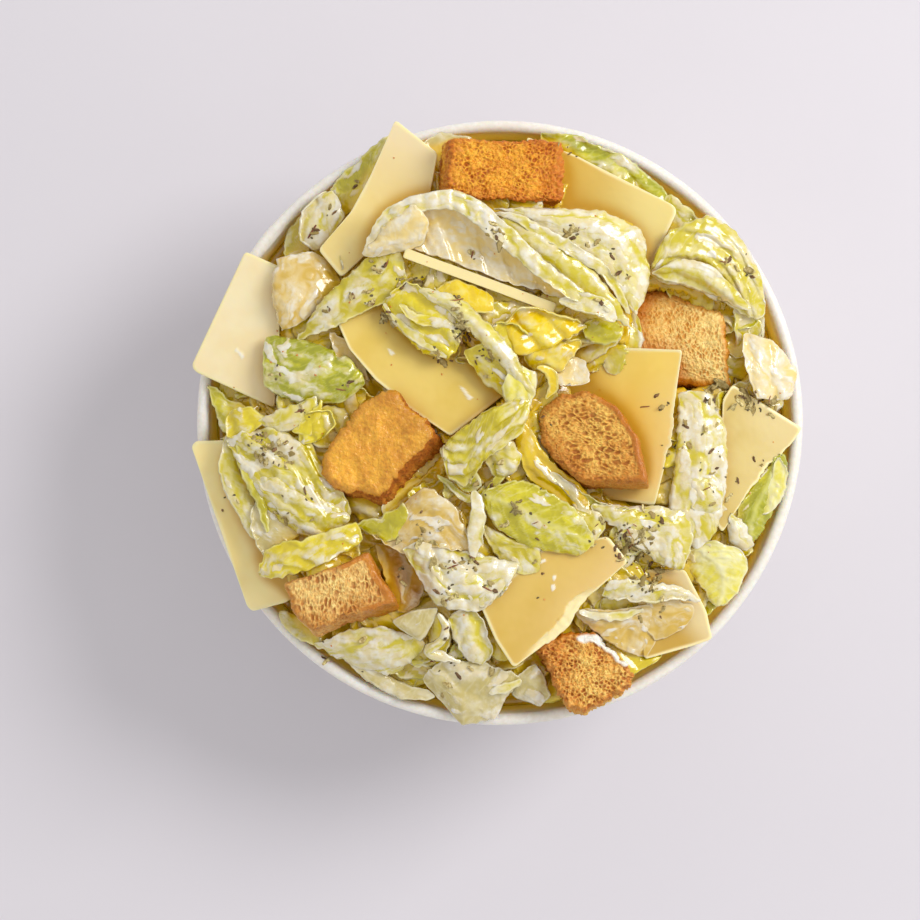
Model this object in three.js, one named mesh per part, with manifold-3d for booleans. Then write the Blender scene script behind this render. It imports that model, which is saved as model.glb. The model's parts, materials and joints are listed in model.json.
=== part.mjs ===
// Caesar salad heaped in a round white paper bowl: lettuce leaves, six croutons,
// ten slices of cheese and flakes of dried herbs. Millimetres, +Z up. The origin is
// on the bowl's axis, in the plane that the bowl stands on.
import * as THREE from 'three';
import { mergeVertices } from 'three/addons/utils/BufferGeometryUtils.js';
import Module from 'manifold-3d';

// ---------------------------------------------------------------- driving dimensions
const RIM_DIAMETER = 150;
const BOWL_HEIGHT = 60;
const FOOT_DIAMETER = 120;
const FOOT_WIDTH = 2.4;
const BASE_RECESS = 3.5;
const PAPER = 0.8;
const BEAD_DIAMETER = 3;
const BOWL_FACETS = 44;

const GAP = 0.3; // left between neighbouring solids
const LEAF_THICKNESS = 1.2;
const RIBBON_THICKNESS = 1.4;
const CHEESE_THICKNESS = 2;
const LEAF_SPOKES = 9;
const RIBBON_STEPS = 5;
const LEAF_ROOT = 10; // how deep a leaf's rib reaches into the heap below its middle
const HEAP_SINK = 3.5; // how far the core's top lies below the leaves' middles
const HEAP_BLEND = 6.5; // reach of one leaf's height in the core's top
const HEAP_BUMP = 0.8;
const WALL_LINE = 56; // height at which the core meets the paper wall

// Colours of the driving materials.
const PAPER_WHITE = 0xf1ece4;
const LETTUCE_GREEN = 0xd3cf86;
const CHEESE_YELLOW = 0xe9cf82;
const TOAST_TAN = 0xdda45a;

// ---------------------------------------------------------------- leaves
// Each leaf is the closed curve through its corners [x, y, z]. rise lifts its middle
// above the corners' mean, and ruffle is the height of the waves along its edge.
const LEAVES = [
  // back left, along the wall and under the first slices
  { corners: [[-27, 71, 65], [-35, 65, 62], [-42, 57.5, 61], [-38, 51, 62.5], [-30, 59, 65.5]] },
  { corners: [[-42, 57.5, 64], [-48, 53, 62], [-49.5, 45, 62], [-45, 42.5, 64], [-38.5, 50.5, 66]], rise: 1 },
  { corners: [[-48, 52, 59], [-53, 47, 58], [-53, 41, 60], [-47.5, 42, 61]] },
  { corners: [[-55, 40, 68], [-46, 42, 67], [-39, 35, 67.5], [-45, 27, 70], [-53.5, 22.5, 69], [-56, 31, 70]], rise: 2 },
  { corners: [[-50, 20.5, 70], [-38.5, 35, 75], [-25.5, 44, 78], [-23, 33, 77], [-38, 24.5, 74.5]], rise: -1 },
  // the large folded leaf and the round one behind it
  {
    corners: [[-28, 45, 79], [-23.5, 51, 82], [-11, 53.5, 84.5], [7.5, 39.5, 84], [27.5, 26.5, 83], [16, 30.5, 79],
      [-4, 37.5, 77], [-22, 44, 77]],
    rise: -3, ruffle: 0.5,
  },
  { corners: [[-2, 51.5, 80], [11, 51.5, 80], [25, 50.5, 79], [34, 46, 77], [36, 36, 76], [33, 26, 77], [10, 46, 82]], rise: 1 },
  // right of the middle, along the wall
  { corners: [[36, 37, 74], [41, 47, 73], [49, 50.5, 72], [52, 40, 75], [48, 32, 74], [39.5, 33.5, 75]], rise: 2, ruffle: 1 },
  { corners: [[52, 49.5, 69], [59, 44, 67], [64, 33, 66], [64.5, 25, 66], [58, 24.5, 70], [54, 33, 74]], rise: 2, ruffle: 1.2 },
  { corners: [[60, 22, 67], [67, 20, 66], [73, 13, 64], [71.5, 6.5, 65], [63, 6, 69], [60, 13, 70]], rise: 1 },
  { corners: [[10, 71.5, 62], [20, 70, 62], [31, 65, 62], [39, 58, 63], [43, 51, 64.5], [30, 56, 62.5], [12, 65, 61.5]] },
  { corners: [[-19, 68.5, 65], [-14.5, 71.5, 64], [-7, 70, 63.5], [-5, 65, 63.5], [-14, 62.5, 64.5]] },
  // the yellow-green leaves over the large slice
  { corners: [[-29, 28.5, 76.5], [-23, 33.5, 78], [-11, 27, 81], [-9.5, 19, 80], [-13, 15, 78], [-20, 18, 77]], rise: 1, ruffle: 0.6 },
  { corners: [[-15, 34, 79], [-2, 30.5, 80], [-2, 26.5, 82], [-9, 27, 82]] },
  { corners: [[0, 22, 80], [5, 27.5, 79], [15, 25.5, 80], [20.5, 23, 80], [8, 16.5, 82], [3, 16, 82]], rise: 1, ruffle: 0.8 },
  { corners: [[5.5, 16, 79], [11, 19, 80], [19.5, 19.5, 79], [15, 12.5, 78], [8, 13, 78]], rise: 1.5 },
  { corners: [[14, 17, 76], [20.5, 15, 75], [21.5, 9.8, 77], [16.5, 9, 78], [12, 10, 78]] },
  { corners: [[-9, 17, 78], [-4, 9.5, 77], [0, 5.5, 78], [5, 8, 79], [0, 14, 81]] },
  { corners: [[-14, -5.8, 79], [-1, 4.3, 83], [7, 5.5, 83], [4, -3, 82], [-3.5, -9, 81], [-10.5, -16, 77]], rise: 1 },
  { corners: [[-4.5, -6, 78], [1.5, -4.5, 79], [5, -8, 78], [3.5, -12, 77], [-1, -14, 76]], rise: 1.5 },
  { corners: [[-41, 21, 75.5], [-34, 22, 76], [-31.5, 17, 76], [-38, 15.5, 75]] },
  // the front
  { corners: [[-4.5, -17, 77], [5, -14, 78], [18, -21, 79], [22.5, -29, 77], [19, -32, 76], [5, -30, 76], [-4.5, -24, 76]], rise: 1, ruffle: 0.8 },
  { corners: [[-5, -24.5, 75], [5, -29, 76], [9.5, -31, 76], [8.5, -37, 75.5], [1, -34.5, 75], [-4, -30, 74]], rise: 1 },
  { corners: [[23, -22, 74], [35, -21.3, 73], [46, -22, 73], [47, -29, 72], [44.5, -35, 70], [35, -32, 72], [26, -27, 74]], rise: 2, ruffle: 1 },
  { corners: [[44, 7, 72.5], [52, 6, 72], [55, -4, 71], [54, -17, 71], [51, -29.5, 69.5], [42, -21.5, 72], [43, -8, 72.5]], rise: 1.5 },
  { corners: [[46.5, -31, 67], [52, -29.5, 67], [59.5, -31.5, 66], [58, -38, 66], [55, -45.5, 64.5], [50, -41, 63], [46, -35, 64]], ruffle: 0.8 },
  { corners: [[62.5, -16, 64], [69.5, -9, 62.5], [70.5, -14, 62], [66.5, -23.5, 61.5], [61.5, -29.5, 62], [58.5, -23, 64.5]], rise: 1 },
  { corners: [[56.5, -22, 66], [59.5, -24, 66], [61.5, -30, 64], [57, -30.5, 66]], rise: 1.5 },
  { corners: [[24.5, -42, 71], [28.5, -37.5, 73], [36, -38, 73], [46, -40, 71], [49, -43.5, 69], [37, -43.5, 71]], rise: 1 },
  { corners: [[18, -46, 69], [28, -46.5, 70], [38, -45, 69], [36, -52, 67], [33.5, -57.5, 66], [26, -52, 68]] },
  { corners: [[-38.5, -51.5, 67], [-28.5, -50, 69], [-18.5, -54, 68], [-25, -59, 66], [-28.5, -63.5, 63], [-38, -58, 62], [-46, -55, 62]], rise: 1 },
  { corners: [[-19, -63, 64], [-15, -58.5, 67], [-5, -58.5, 68], [4, -63, 67], [1, -69, 64], [-1, -73.5, 62.2], [-10, -74, 62], [-13, -69, 63]], rise: 1, ruffle: 0.4 },
  { corners: [[4, -62.5, 66], [8.5, -60, 66], [11, -64, 65], [11.5, -67.5, 63], [9.5, -69.5, 62], [3, -67, 63]], rise: 1 },
  { corners: [[-12.5, -47.5, 72], [-7, -45.5, 73], [-4, -50, 71], [-2.5, -56, 69], [-4, -59, 68], [-11, -55, 70]] },
  { corners: [[-26, -49, 71], [-22, -46, 72], [-15.5, -45.5, 73], [-17, -50, 72], [-20, -53, 71]], rise: 1 },
  { corners: [[-23, -31.5, 74], [-17, -29, 75], [-7, -32.5, 76], [4, -35, 76], [0, -41.5, 76], [-6.5, -45.5, 75], [-16, -43.5, 74], [-20, -37, 74]], rise: 2 },
  { corners: [[-34.5, -25, 71], [-26.5, -22.5, 72], [-17.5, -15.8, 76], [-12.5, -19, 77], [-6, -31, 76], [-15, -28.5, 75], [-23, -31, 73]], rise: 0.5, ruffle: 0.6 },
  { corners: [[-30.5, -29.5, 69], [-24, -31.5, 71], [-19, -37, 72], [-20, -44, 70], [-23, -44.5, 68]] },
  // the left cluster
  { corners: [[-66, 3, 68], [-61, 3.5, 70], [-57.5, 0.5, 71], [-61.5, -2, 71], [-67, -3.5, 68]], rise: 1 },
  { corners: [[-59, 0, 71], [-54, 3.2, 73], [-44, 6, 74], [-46, 0, 74], [-56.5, -4.5, 72]], rise: 1 },
  { corners: [[-48, 2, 74], [-42, 2.5, 74], [-44, -3.5, 74], [-48, -4.5, 73]], rise: 1 },
  {
    corners: [[-67, -4, 69], [-57, -2, 72], [-47, -6, 73], [-46, -13, 72], [-38.5, -22, 71], [-45, -28, 70], [-56, -22, 70],
      [-65, -9, 69]],
    rise: 1.5, ruffle: 1,
  },
  { corners: [[-57, -30, 71], [-47, -28.5, 74], [-34.5, -25, 74], [-33, -29, 76], [-41, -33, 78], [-52, -36.5, 76], [-58, -39, 72]], ruffle: 0.6 },
  { corners: [[-57, 21, 69], [-46, 19.5, 71], [-37, 15.5, 72], [-33, 9.5, 73], [-38.5, 6, 73], [-50, 5.5, 72], [-57.5, 9, 70]], rise: 1.5, ruffle: 0.8 },
  { corners: [[-70.5, 3.2, 61], [-66.8, 4.5, 61.5], [-67.5, -0.5, 61.5], [-70, -4, 61]] },
];

// Ribs and rolled edges: a ribbon along the curve through its points, half as wide as
// the number says.
const RIBBONS = [
  { points: [[-2.5, 51, 81.5], [11, 45.3, 82], [24.8, 36.6, 80.5], [31.5, 26, 78]], halfWidth: 2 },
  { points: [[-19.8, 32.2, 79.5], [-11, 28, 81.5], [0, 19.3, 82.5], [5, 11.9, 81.5], [8, 7, 80]], halfWidth: 2.2 },
  { points: [[-7, -16.5, 77], [-6.5, -24, 78], [-6.5, -32.5, 77]], halfWidth: 1.8 },
  { points: [[-67, -5, 67.5], [-66, -14, 67.5], [-62, -23, 68], [-57, -29, 70]], halfWidth: 2.6 },
  { points: [[-15.3, -46.8, 73.5], [-14, -52, 72.5], [-17.2, -55.8, 70], [-12.5, -58, 68.5]], halfWidth: 1.4 },
  { points: [[-38.4, -58, 61.6], [-32.2, -61.6, 61.6], [-24.8, -66, 61.6], [-16, -67, 63]], halfWidth: 2 },
  { points: [[-54.5, -46.5, 60.8], [-50, -50.5, 61], [-44.6, -54.2, 62]], halfWidth: 2 },
  { points: [[-70, 8.5, 61], [-64.4, 6, 61.2], [-58.2, 2.7, 64]], halfWidth: 1.5 },
];

// ---------------------------------------------------------------- toppings
// A slice's corners are in its mid-plane. A slice is flat or bent a little by them.
const SLICES = [
  [[-25.7, 74, 70.8], [-15.3, 65.6, 73], [-17.4, 54.2, 73], [-23.5, 49.7, 72], [-38.9, 35.4, 70.3], [-44.6, 42.3, 69.3],
    [-36.6, 51.5, 70], [-31.7, 60.6, 70.3]],
  [[-62.9, 42.3, 62.3], [-54.2, 38.4, 65.3], [-54.2, 23, 66], [-55.4, 3.5, 66], [-75.2, 12.6, 61.9], [-76.2, 14.1, 61.8]],
  [[6.4, 70.5, 63.6], [18.6, 65.8, 64.5], [42.6, 53.2, 68.3], [43.3, 51.7, 68.5], [36.6, 37.4, 70.5], [9.9, 51.5, 66]],
  null, // stands on its edge, see STANDING_SLICE
  [[-40.3, 25.5, 72.2], [-11.9, -3, 75.5], [2, 7.5, 73.5], [-22, 33, 70.5]],
  [[19.3, 18.8, 69], [44.1, 17.6, 75.9], [42.8, 8.2, 75.1], [41.6, -4.2, 74.1], [37.6, -20.3, 72.2], [26, -18.6, 69.1],
    [16, -6, 66.9], [14.5, 8, 67.2]],
  [[56.9, 9.4, 67.5], [74.5, -1.2, 61.9], [71.8, -5.4, 62.3], [65.6, -11.1, 64], [59.6, -19.1, 65.8], [54.5, -27, 67],
    [53, -25, 67.3], [54.5, 5.7, 68]],
  [[-5, -44.6, 73.5], [9.9, -30.7, 74], [26.2, -27.7, 73], [31.2, -33.9, 72.5], [19.8, -44.1, 72.5], [16.6, -50, 72.3],
    [3.2, -59.9, 71.7], [-1.2, -53.2, 72.3]],
  [[34.7, -36, 67], [45.3, -36, 66.5], [50.7, -46.3, 65.5], [52.2, -53.2, 65], [47, -55, 65], [35.4, -58.2, 65.5]],
  [[-76.2, -5.9, 61.8], [-75.2, -4.5, 61.9], [-61, -4, 64], [-48, -41, 64.3], [-52.7, -44.2, 63.8], [-61.1, -46.5, 62.3],
    [-62.4, -45.3, 62.1]],
];
const STANDING_SLICE = {
  top: [[-23, 42.4, 80], [-23.6, 40.5, 80], [12.9, 27, 80], [13.5, 28.9, 80]],
  down: [0, 0, -13],
};

// A crouton is a cut block of bread: its upper face's corners, and the way from them to
// the lower face's corners.
const CROUTONS = [
  { top: [[-12.6, 68.3, 82], [-13.4, 54.3, 82], [15.3, 53.4, 79], [14.8, 68, 79]], down: [-2, -0.5, -12] },
  {
    top: [[35, 33, 63], [32.6, 19.8, 72.3], [56.3, 19.5, 72.3], [55.5, 27.5, 67], [49, 31.5, 64]],
    down: [0.8, -10.5, -14],
  },
  {
    top: [[-28.5, 8, 81], [-34, 4.3, 79], [-41, -3.5, 77], [-42.5, -10, 77], [-27.5, -16.5, 79], [-16.5, -1.5, 81]],
    down: [2, -5.5, -14.5],
  },
  {
    top: [[8.8, 2.5, 77.5], [9.5, -4.5, 77.6], [14, -10.5, 78.5], [20, -14.6, 80.5], [35, -14, 84.5], [32.5, -3, 84],
      [28, 4.5, 83], [22, 7.4, 81.5], [15, 7, 79.5]],
    down: [1.2, -1.8, -10.5],
  },
  {
    top: [[-53, -38.8, 78], [-50.5, -45, 77.8], [-46, -51, 77.8], [-38, -47.3, 78.4], [-25.3, -43.8, 79], [-31.8, -31.4, 80],
      [-39.6, -34.8, 80]],
    down: [0.8, -2.2, -11.3],
  },
  {
    top: [[10.5, -57, 70.2], [12.6, -63, 71], [16.5, -69.6, 72], [20, -71, 72.5], [30, -65, 73], [32.7, -62, 73],
      [30.5, -58.7, 72.8], [22.5, -51.5, 71.4], [17, -50.9, 70.6], [13.8, -52.2, 70.2]],
    down: [0.2, -1.2, -11],
  },
];
const CRUMB_RELIEF = 0.35;

// ---------------------------------------------------------------- herbs
// Clusters of dried herb flakes: middle x, y, spread and number of flakes.
const HERB_CLUSTERS = [
  { x: 32, y: -30, spread: 7, count: 11 },
  { x: 37, y: -36, spread: 5, count: 4 },
  { x: 50, y: 4, spread: 7, count: 6 },
  { x: -21, y: 34, spread: 5, count: 4 },
  { x: -9, y: 25, spread: 6, count: 4 },
  { x: -11, y: -39, spread: 6, count: 6 },
  { x: -53, y: -7, spread: 10, count: 7 },
  { x: -2, y: 47, spread: 5, count: 3 },
  { x: -50, y: 33, spread: 4, count: 3 },
  { x: 0, y: 0, spread: 55, count: 28 },
];
const FLAKE = { length: 2.6, width: 1.2, height: 0.9 };
const FLAKE_CLEARANCE = 2.2; // level ground that a flake needs round it

// ---------------------------------------------------------------- small helpers
const vector = (p) => new THREE.Vector3(...p);

function randomFrom(seed) {
  let state = seed;
  return () => {
    state = (state * 16807) % 2147483647;
    return (state - 1) / 2147483646;
  };
}

function meanOf(points) {
  const sum = points.reduce((total, p) => total.add(p), new THREE.Vector3());
  return sum.divideScalar(points.length);
}

function counterClockwise(points) {
  const turned = points.reduce((area, p, i) => {
    const next = points[(i + 1) % points.length];
    return area + p.x * next.y - next.x * p.y;
  }, 0);
  return turned > 0 ? points : [...points].reverse();
}

function meshGeometry(points, triangles) {
  const geometry = new THREE.BufferGeometry();
  geometry.setAttribute('position', new THREE.Float32BufferAttribute(points.flatMap((p) => p.toArray()), 3));
  geometry.setIndex(triangles.flat());
  return geometry;
}

// A closed body from rings of points, listed from its upper pole out over the edge and
// back under it to its lower pole. Both halves are split into triangles alike.
function ringBody(upperPole, rings, lowerPole) {
  const points = [upperPole, ...rings.flat(), lowerPole];
  const spokes = rings[0].length;
  const at = (ring, spoke) => 1 + ring * spokes + (spoke % spokes);
  const last = points.length - 1;
  const triangles = [];
  for (let j = 0; j < spokes; j += 1) {
    triangles.push([0, at(0, j), at(0, j + 1)]);
    for (let k = 0; k < rings.length - 1; k += 1) {
      const [a, b, c, d] = [at(k, j), at(k, j + 1), at(k + 1, j + 1), at(k + 1, j)];
      const goingOut = k < rings.length / 2 - 1;
      triangles.push(...(goingOut ? [[a, d, c], [a, c, b]] : [[a, d, b], [b, d, c]]));
    }
    triangles.push([last, at(rings.length - 1, j + 1), at(rings.length - 1, j)]);
  }
  return meshGeometry(points, triangles);
}

// ---------------------------------------------------------------- manifold joins and cuts
const wasm = await Module();
wasm.setup();

function solidOf(geometry) {
  const bare = geometry.clone();
  bare.deleteAttribute('normal');
  bare.deleteAttribute('uv');
  const merged = mergeVertices(bare, 1e-4);
  return new wasm.Manifold(new wasm.Mesh({
    numProp: 3,
    vertProperties: new Float32Array(merged.attributes.position.array),
    triVerts: new Uint32Array(merged.index.array),
  }));
}

function geometryOf(solid) {
  const { vertProperties, triVerts } = solid.getMesh();
  const geometry = new THREE.BufferGeometry();
  geometry.setAttribute('position', new THREE.BufferAttribute(vertProperties, 3));
  geometry.setIndex(new THREE.BufferAttribute(triVerts, 1));
  return geometry;
}

function largestBody(solid) {
  const bodies = solid.decompose();
  return bodies.reduce((best, body) => (body.volume() > best.volume() ? body : best));
}

// ---------------------------------------------------------------- the paper bowl
const BEAD_RADIUS = BEAD_DIAMETER / 2;
const BEAD_MIDDLE = [RIM_DIAMETER / 2 - BEAD_RADIUS, BOWL_HEIGHT - BEAD_RADIUS];
const BEAD_START = -120; // degrees: where the outer wall meets the bead
const BEAD_END = 180;
const BEAD_STEP = 50;
const FLOOR = BASE_RECESS + PAPER;
const WALL_SLOPE = (BEAD_MIDDLE[0] - BEAD_RADIUS / 2 - FOOT_DIAMETER / 2) / BEAD_MIDDLE[1];
const wallInside = (z) => FOOT_DIAMETER / 2 + WALL_SLOPE * z - PAPER;

function beadPoint(degrees, radius = BEAD_RADIUS) {
  const angle = THREE.MathUtils.degToRad(degrees);
  return [BEAD_MIDDLE[0] + radius * Math.cos(angle), BEAD_MIDDLE[1] + radius * Math.sin(angle)];
}

function lathe(profile, facets) {
  const geometry = new THREE.LatheGeometry(profile.map(([r, z]) => new THREE.Vector2(r, z)), facets);
  return geometry.rotateX(Math.PI / 2);
}

function bowlGeometry() {
  const footOuter = FOOT_DIAMETER / 2;
  const profile = [[0, BASE_RECESS], [footOuter - FOOT_WIDTH, BASE_RECESS], [footOuter - FOOT_WIDTH, 0], [footOuter, 0]];
  for (let degrees = BEAD_START; degrees <= BEAD_END; degrees += BEAD_STEP) {
    profile.push(beadPoint(degrees));
  }
  const underBead = BEAD_MIDDLE[1] - BEAD_RADIUS;
  const fillet = 1.2;
  profile.push([wallInside(underBead), underBead]);
  profile.push([wallInside(FLOOR + fillet), FLOOR + fillet]);
  profile.push([wallInside(FLOOR) - fillet, FLOOR]);
  profile.push([0, FLOOR]);
  return lathe(profile, BOWL_FACETS);
}

// The room that the heap keeps clear: the paper wall and the rim, grown by the gap, and
// all that lies outside them below the rim's top.
function bowlKeepOut() {
  const outside = RIM_DIAMETER;
  const profile = [[wallInside(-5) - GAP, -5], [outside, -5], [outside, BOWL_HEIGHT + GAP]];
  for (let degrees = 90; degrees <= BEAD_END; degrees += BEAD_STEP) {
    profile.push(beadPoint(degrees, BEAD_RADIUS + GAP));
  }
  const underBead = BEAD_MIDDLE[1] - BEAD_RADIUS;
  profile.push([wallInside(underBead) - GAP, underBead]);
  profile.push([wallInside(-5) - GAP, -5]);
  return lathe(profile, BOWL_FACETS);
}

// ---------------------------------------------------------------- cheese and croutons
// An outline's plan moved outwards by grow, seen from its middle.
function grownOutline(points, grow) {
  const middle = meanOf(points);
  return points.map((p) => {
    const outward = new THREE.Vector3(p.x - middle.x, p.y - middle.y, 0).normalize();
    return p.clone().addScaledVector(outward, grow * Math.SQRT2);
  });
}

// The outline's points with each corner cut by a small bevel and each side halved.
function softCorners(points, bevel) {
  return points.flatMap((p, i) => {
    const before = points[(i + points.length - 1) % points.length];
    const after = points[(i + 1) % points.length];
    const from = p.clone().lerp(before, Math.min(0.3, bevel / p.distanceTo(before)));
    const to = p.clone().lerp(after, Math.min(0.3, bevel / p.distanceTo(after)));
    return [from, to, p.clone().lerp(after, 0.5)];
  });
}

const towards = (middle, ring, reach) => ring.map((p) => middle.clone().lerp(p, reach));
const shifted = (points, offset) => points.map((p) => p.clone().add(offset));

function sliceGeometry(corners, grow = 0) {
  const ring = softCorners(grownOutline(counterClockwise(corners.map(vector)), grow), 0.8);
  const middle = meanOf(ring);
  const up = new THREE.Vector3(0, 0, CHEESE_THICKNESS / 2 + grow);
  const down = up.clone().negate();
  return ringBody(middle.clone().add(up), [shifted(ring, up), shifted(ring, down)], middle.clone().add(down));
}

// A block between an upper outline and the same outline moved along down, with soft
// edges and a rough crumb.
function blockGeometry({ top, down }, relief, grow = 0, bevel = 0.9) {
  const ring = softCorners(grownOutline(counterClockwise(top.map(vector)), grow), bevel);
  const middle = meanOf(ring);
  const way = vector(down);
  const length = way.length();
  const stretched = way.clone().multiplyScalar((length + grow) / length);
  const lift = way.clone().multiplyScalar(-grow / length);
  const random = randomFrom(7 + Math.round(Math.abs(top[0][0])));
  const place = (reach, depth) => {
    const offset = lift.clone().lerp(stretched, depth);
    return towards(middle, ring, reach).map((p) => {
      const rough = (random() - 0.5) * 2 * relief;
      return p.add(offset).add(new THREE.Vector3(rough, -rough / 2, rough / 2));
    });
  };
  const edge = bevel / length;
  const soft = 1 - bevel / 10;
  return ringBody(
    middle.clone().add(lift),
    [place(soft, 0), place(1, edge), place(1, 0.5), place(1, 1 - edge), place(soft, 1)],
    middle.clone().add(stretched),
  );
}

// Straight shaft above an outline, from its corners up past the top of the heap.
function shaftAbove(points) {
  const ring = counterClockwise(points);
  const roof = ring.map((p) => new THREE.Vector3(p.x, p.y, 2 * BOWL_HEIGHT));
  return ringBody(meanOf(roof), [roof, ring], meanOf(ring));
}

function cheeseParts(grow = 0) {
  return SLICES.map((corners) => (
    corners ? sliceGeometry(corners, grow) : blockGeometry(STANDING_SLICE, 0, grow, 0.3)
  ));
}

const croutonParts = (grow = 0) => CROUTONS.map((crouton) => blockGeometry(crouton, CRUMB_RELIEF, grow));

// ---------------------------------------------------------------- lettuce
function leafEdge(corners, spokes) {
  const curve = new THREE.CatmullRomCurve3(counterClockwise(corners.map(vector)), true);
  return Array.from({ length: spokes }, (_, j) => curve.getPoint(j / spokes));
}

function leafGeometry({ corners, rise = 0, ruffle = 0 }) {
  const edge = leafEdge(corners, LEAF_SPOKES);
  edge.forEach((p, j) => {
    p.z += ruffle * (j % 2 ? 1 : -1);
  });
  const middle = meanOf(edge);
  middle.z += rise;
  const inner = towards(middle, edge, 0.55);
  inner.forEach((p) => {
    p.z += rise * 0.3;
  });
  const up = new THREE.Vector3(0, 0, LEAF_THICKNESS / 2);
  const down = up.clone().negate();
  return ringBody(
    middle.clone().add(up),
    [shifted(inner, up), shifted(edge, up), shifted(edge, down), shifted(inner, down)],
    middle.clone().add(new THREE.Vector3(0, 0, -LEAF_ROOT)),
  );
}

// A ribbon has an arched upper face and a lower face of the same arch.
function ribbonGeometry({ points, halfWidth }) {
  const curve = new THREE.CatmullRomCurve3(points.map(vector));
  const arch = halfWidth * 0.4;
  const half = RIBBON_THICKNESS / 2;
  const rows = Array.from({ length: RIBBON_STEPS + 1 }, (_, i) => {
    const share = i / RIBBON_STEPS;
    const spine = curve.getPoint(share);
    const along = curve.getTangent(share);
    const side = new THREE.Vector3(along.y, -along.x, 0).normalize().multiplyScalar(halfWidth);
    const place = (reach, lift) => spine.clone().addScaledVector(side, reach).add(new THREE.Vector3(0, 0, lift));
    return [place(-1, half), place(0, half + arch), place(1, half), place(1, -half), place(0, arch - half), place(-1, -half)];
  });
  const spokes = rows[0].length;
  const triangles = [];
  for (let i = 0; i < RIBBON_STEPS; i += 1) {
    for (let j = 0; j < spokes; j += 1) {
      const [a, b] = [i * spokes + j, i * spokes + ((j + 1) % spokes)];
      const [c, d] = [b + spokes, a + spokes];
      triangles.push(...(j < spokes / 2 ? [[a, b, c], [a, c, d]] : [[a, b, d], [b, c, d]]));
    }
  }
  const end = RIBBON_STEPS * spokes;
  for (const [i, j, k] of [[0, 5, 1], [1, 5, 4], [1, 4, 2], [2, 4, 3]]) {
    triangles.push([i, j, k], [end + i, end + k, end + j]);
  }
  return meshGeometry(rows.flat(), triangles);
}

// The core's top follows the leaves' middles, a little below them.
const LEAF_MIDDLES = LEAVES.flatMap(({ corners, rise = 0 }) => {
  const middle = meanOf(corners.map(vector));
  middle.z += rise;
  return [middle, ...corners.map((corner) => middle.clone().lerp(vector(corner), 0.5))];
});

function heapHeight(x, y) {
  let total = 1e-6 * WALL_LINE;
  let weights = 1e-6;
  for (const middle of LEAF_MIDDLES) {
    const away = Math.hypot(x - middle.x, y - middle.y) / HEAP_BLEND;
    const weight = Math.exp(-away * away);
    total += weight * (middle.z - HEAP_SINK);
    weights += weight;
  }
  return total / weights;
}

function coreGeometry() {
  const spokes = 26;
  const reaches = [0.2, 0.38, 0.56, 0.74, 0.9];
  const random = randomFrom(11);
  const bottom = FLOOR + GAP;
  const circle = (radius, heightAt) => Array.from({ length: spokes }, (_, j) => {
    const angle = (j / spokes) * 2 * Math.PI;
    const [x, y] = [radius * Math.cos(angle), radius * Math.sin(angle)];
    return new THREE.Vector3(x, y, heightAt(x, y));
  });
  const bumpy = (x, y) => heapHeight(x, y) + (random() - 0.5) * 2 * HEAP_BUMP;
  const atWall = wallInside(WALL_LINE) - GAP;
  const rings = reaches.map((reach) => circle(reach * atWall, bumpy));
  rings.push(circle(atWall, () => WALL_LINE));
  rings.push(circle(wallInside(bottom) - GAP - 1, () => bottom));
  return ringBody(new THREE.Vector3(0, 0, bumpy(0, 0)), rings, new THREE.Vector3(0, 0, bottom));
}

function heapSolid() {
  let core = solidOf(coreGeometry());
  for (const corners of SLICES.filter(Boolean)) {
    const low = shifted(corners.map(vector), new THREE.Vector3(0, 0, -CHEESE_THICKNESS / 2 - GAP));
    core = core.subtract(solidOf(shaftAbove(grownOutline(low, GAP))));
  }
  for (const { top, down } of CROUTONS) {
    const low = top.map((corner) => vector(corner).add(vector(down)));
    core = core.subtract(solidOf(shaftAbove(grownOutline(low, GAP))));
    core = core.subtract(solidOf(shaftAbove(grownOutline(top.map(vector), GAP))));
  }
  let heap = core;
  for (const leaf of LEAVES) {
    heap = heap.add(solidOf(leafGeometry(leaf)));
  }
  for (const ribbon of RIBBONS) {
    heap = heap.add(solidOf(ribbonGeometry(ribbon)));
  }
  return heap;
}

function cutFree(heap) {
  const keepOuts = [...cheeseParts(GAP), ...croutonParts(GAP), bowlKeepOut()];
  const cut = keepOuts.reduce((left, part) => left.subtract(solidOf(part)), heap);
  return largestBody(cut);
}

// ---------------------------------------------------------------- herb flakes
function flakeGeometry(place, random) {
  const flake = new THREE.OctahedronGeometry(0.5);
  const size = 0.7 + 0.6 * random();
  flake.scale(FLAKE.length * size, FLAKE.width * size, FLAKE.height);
  flake.rotateY((random() - 0.5) * 0.5);
  flake.rotateZ(random() * Math.PI);
  return flake.translate(place.x, place.y, place.z + FLAKE.height * 0.15);
}

// Drops a flake straight down: it returns the mesh and the place where it lands, if the
// ground round it is level and belongs to one mesh.
function landing(x, y, meshes) {
  const from = 2 * BOWL_HEIGHT;
  const hits = [[0, 0], [1, 0], [-1, 0], [0, 1], [0, -1]].map(([stepX, stepY]) => {
    const start = new THREE.Vector3(x + stepX * FLAKE_CLEARANCE, y + stepY * FLAKE_CLEARANCE, from);
    const ray = new THREE.Raycaster(start, new THREE.Vector3(0, 0, -1));
    return ray.intersectObjects(meshes)[0];
  });
  const [middle] = hits;
  const level = hits.every((hit) => (
    hit && hit.object === middle.object && Math.abs(hit.point.z - middle.point.z) < FLAKE_CLEARANCE
  ));
  return level ? middle : null;
}

function sprinkle(meshes, solids) {
  const random = randomFrom(41);
  for (const { x, y, spread, count } of HERB_CLUSTERS) {
    for (let i = 0; i < count; i += 1) {
      const angle = random() * 2 * Math.PI;
      const away = Math.sqrt(random()) * spread;
      const hit = landing(x + away * Math.cos(angle), y + away * Math.sin(angle), meshes);
      const flake = hit && solidOf(flakeGeometry(hit.point, random));
      if (flake && solids.has(hit.object)) {
        solids.set(hit.object, solids.get(hit.object).add(flake));
      }
    }
  }
}

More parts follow.
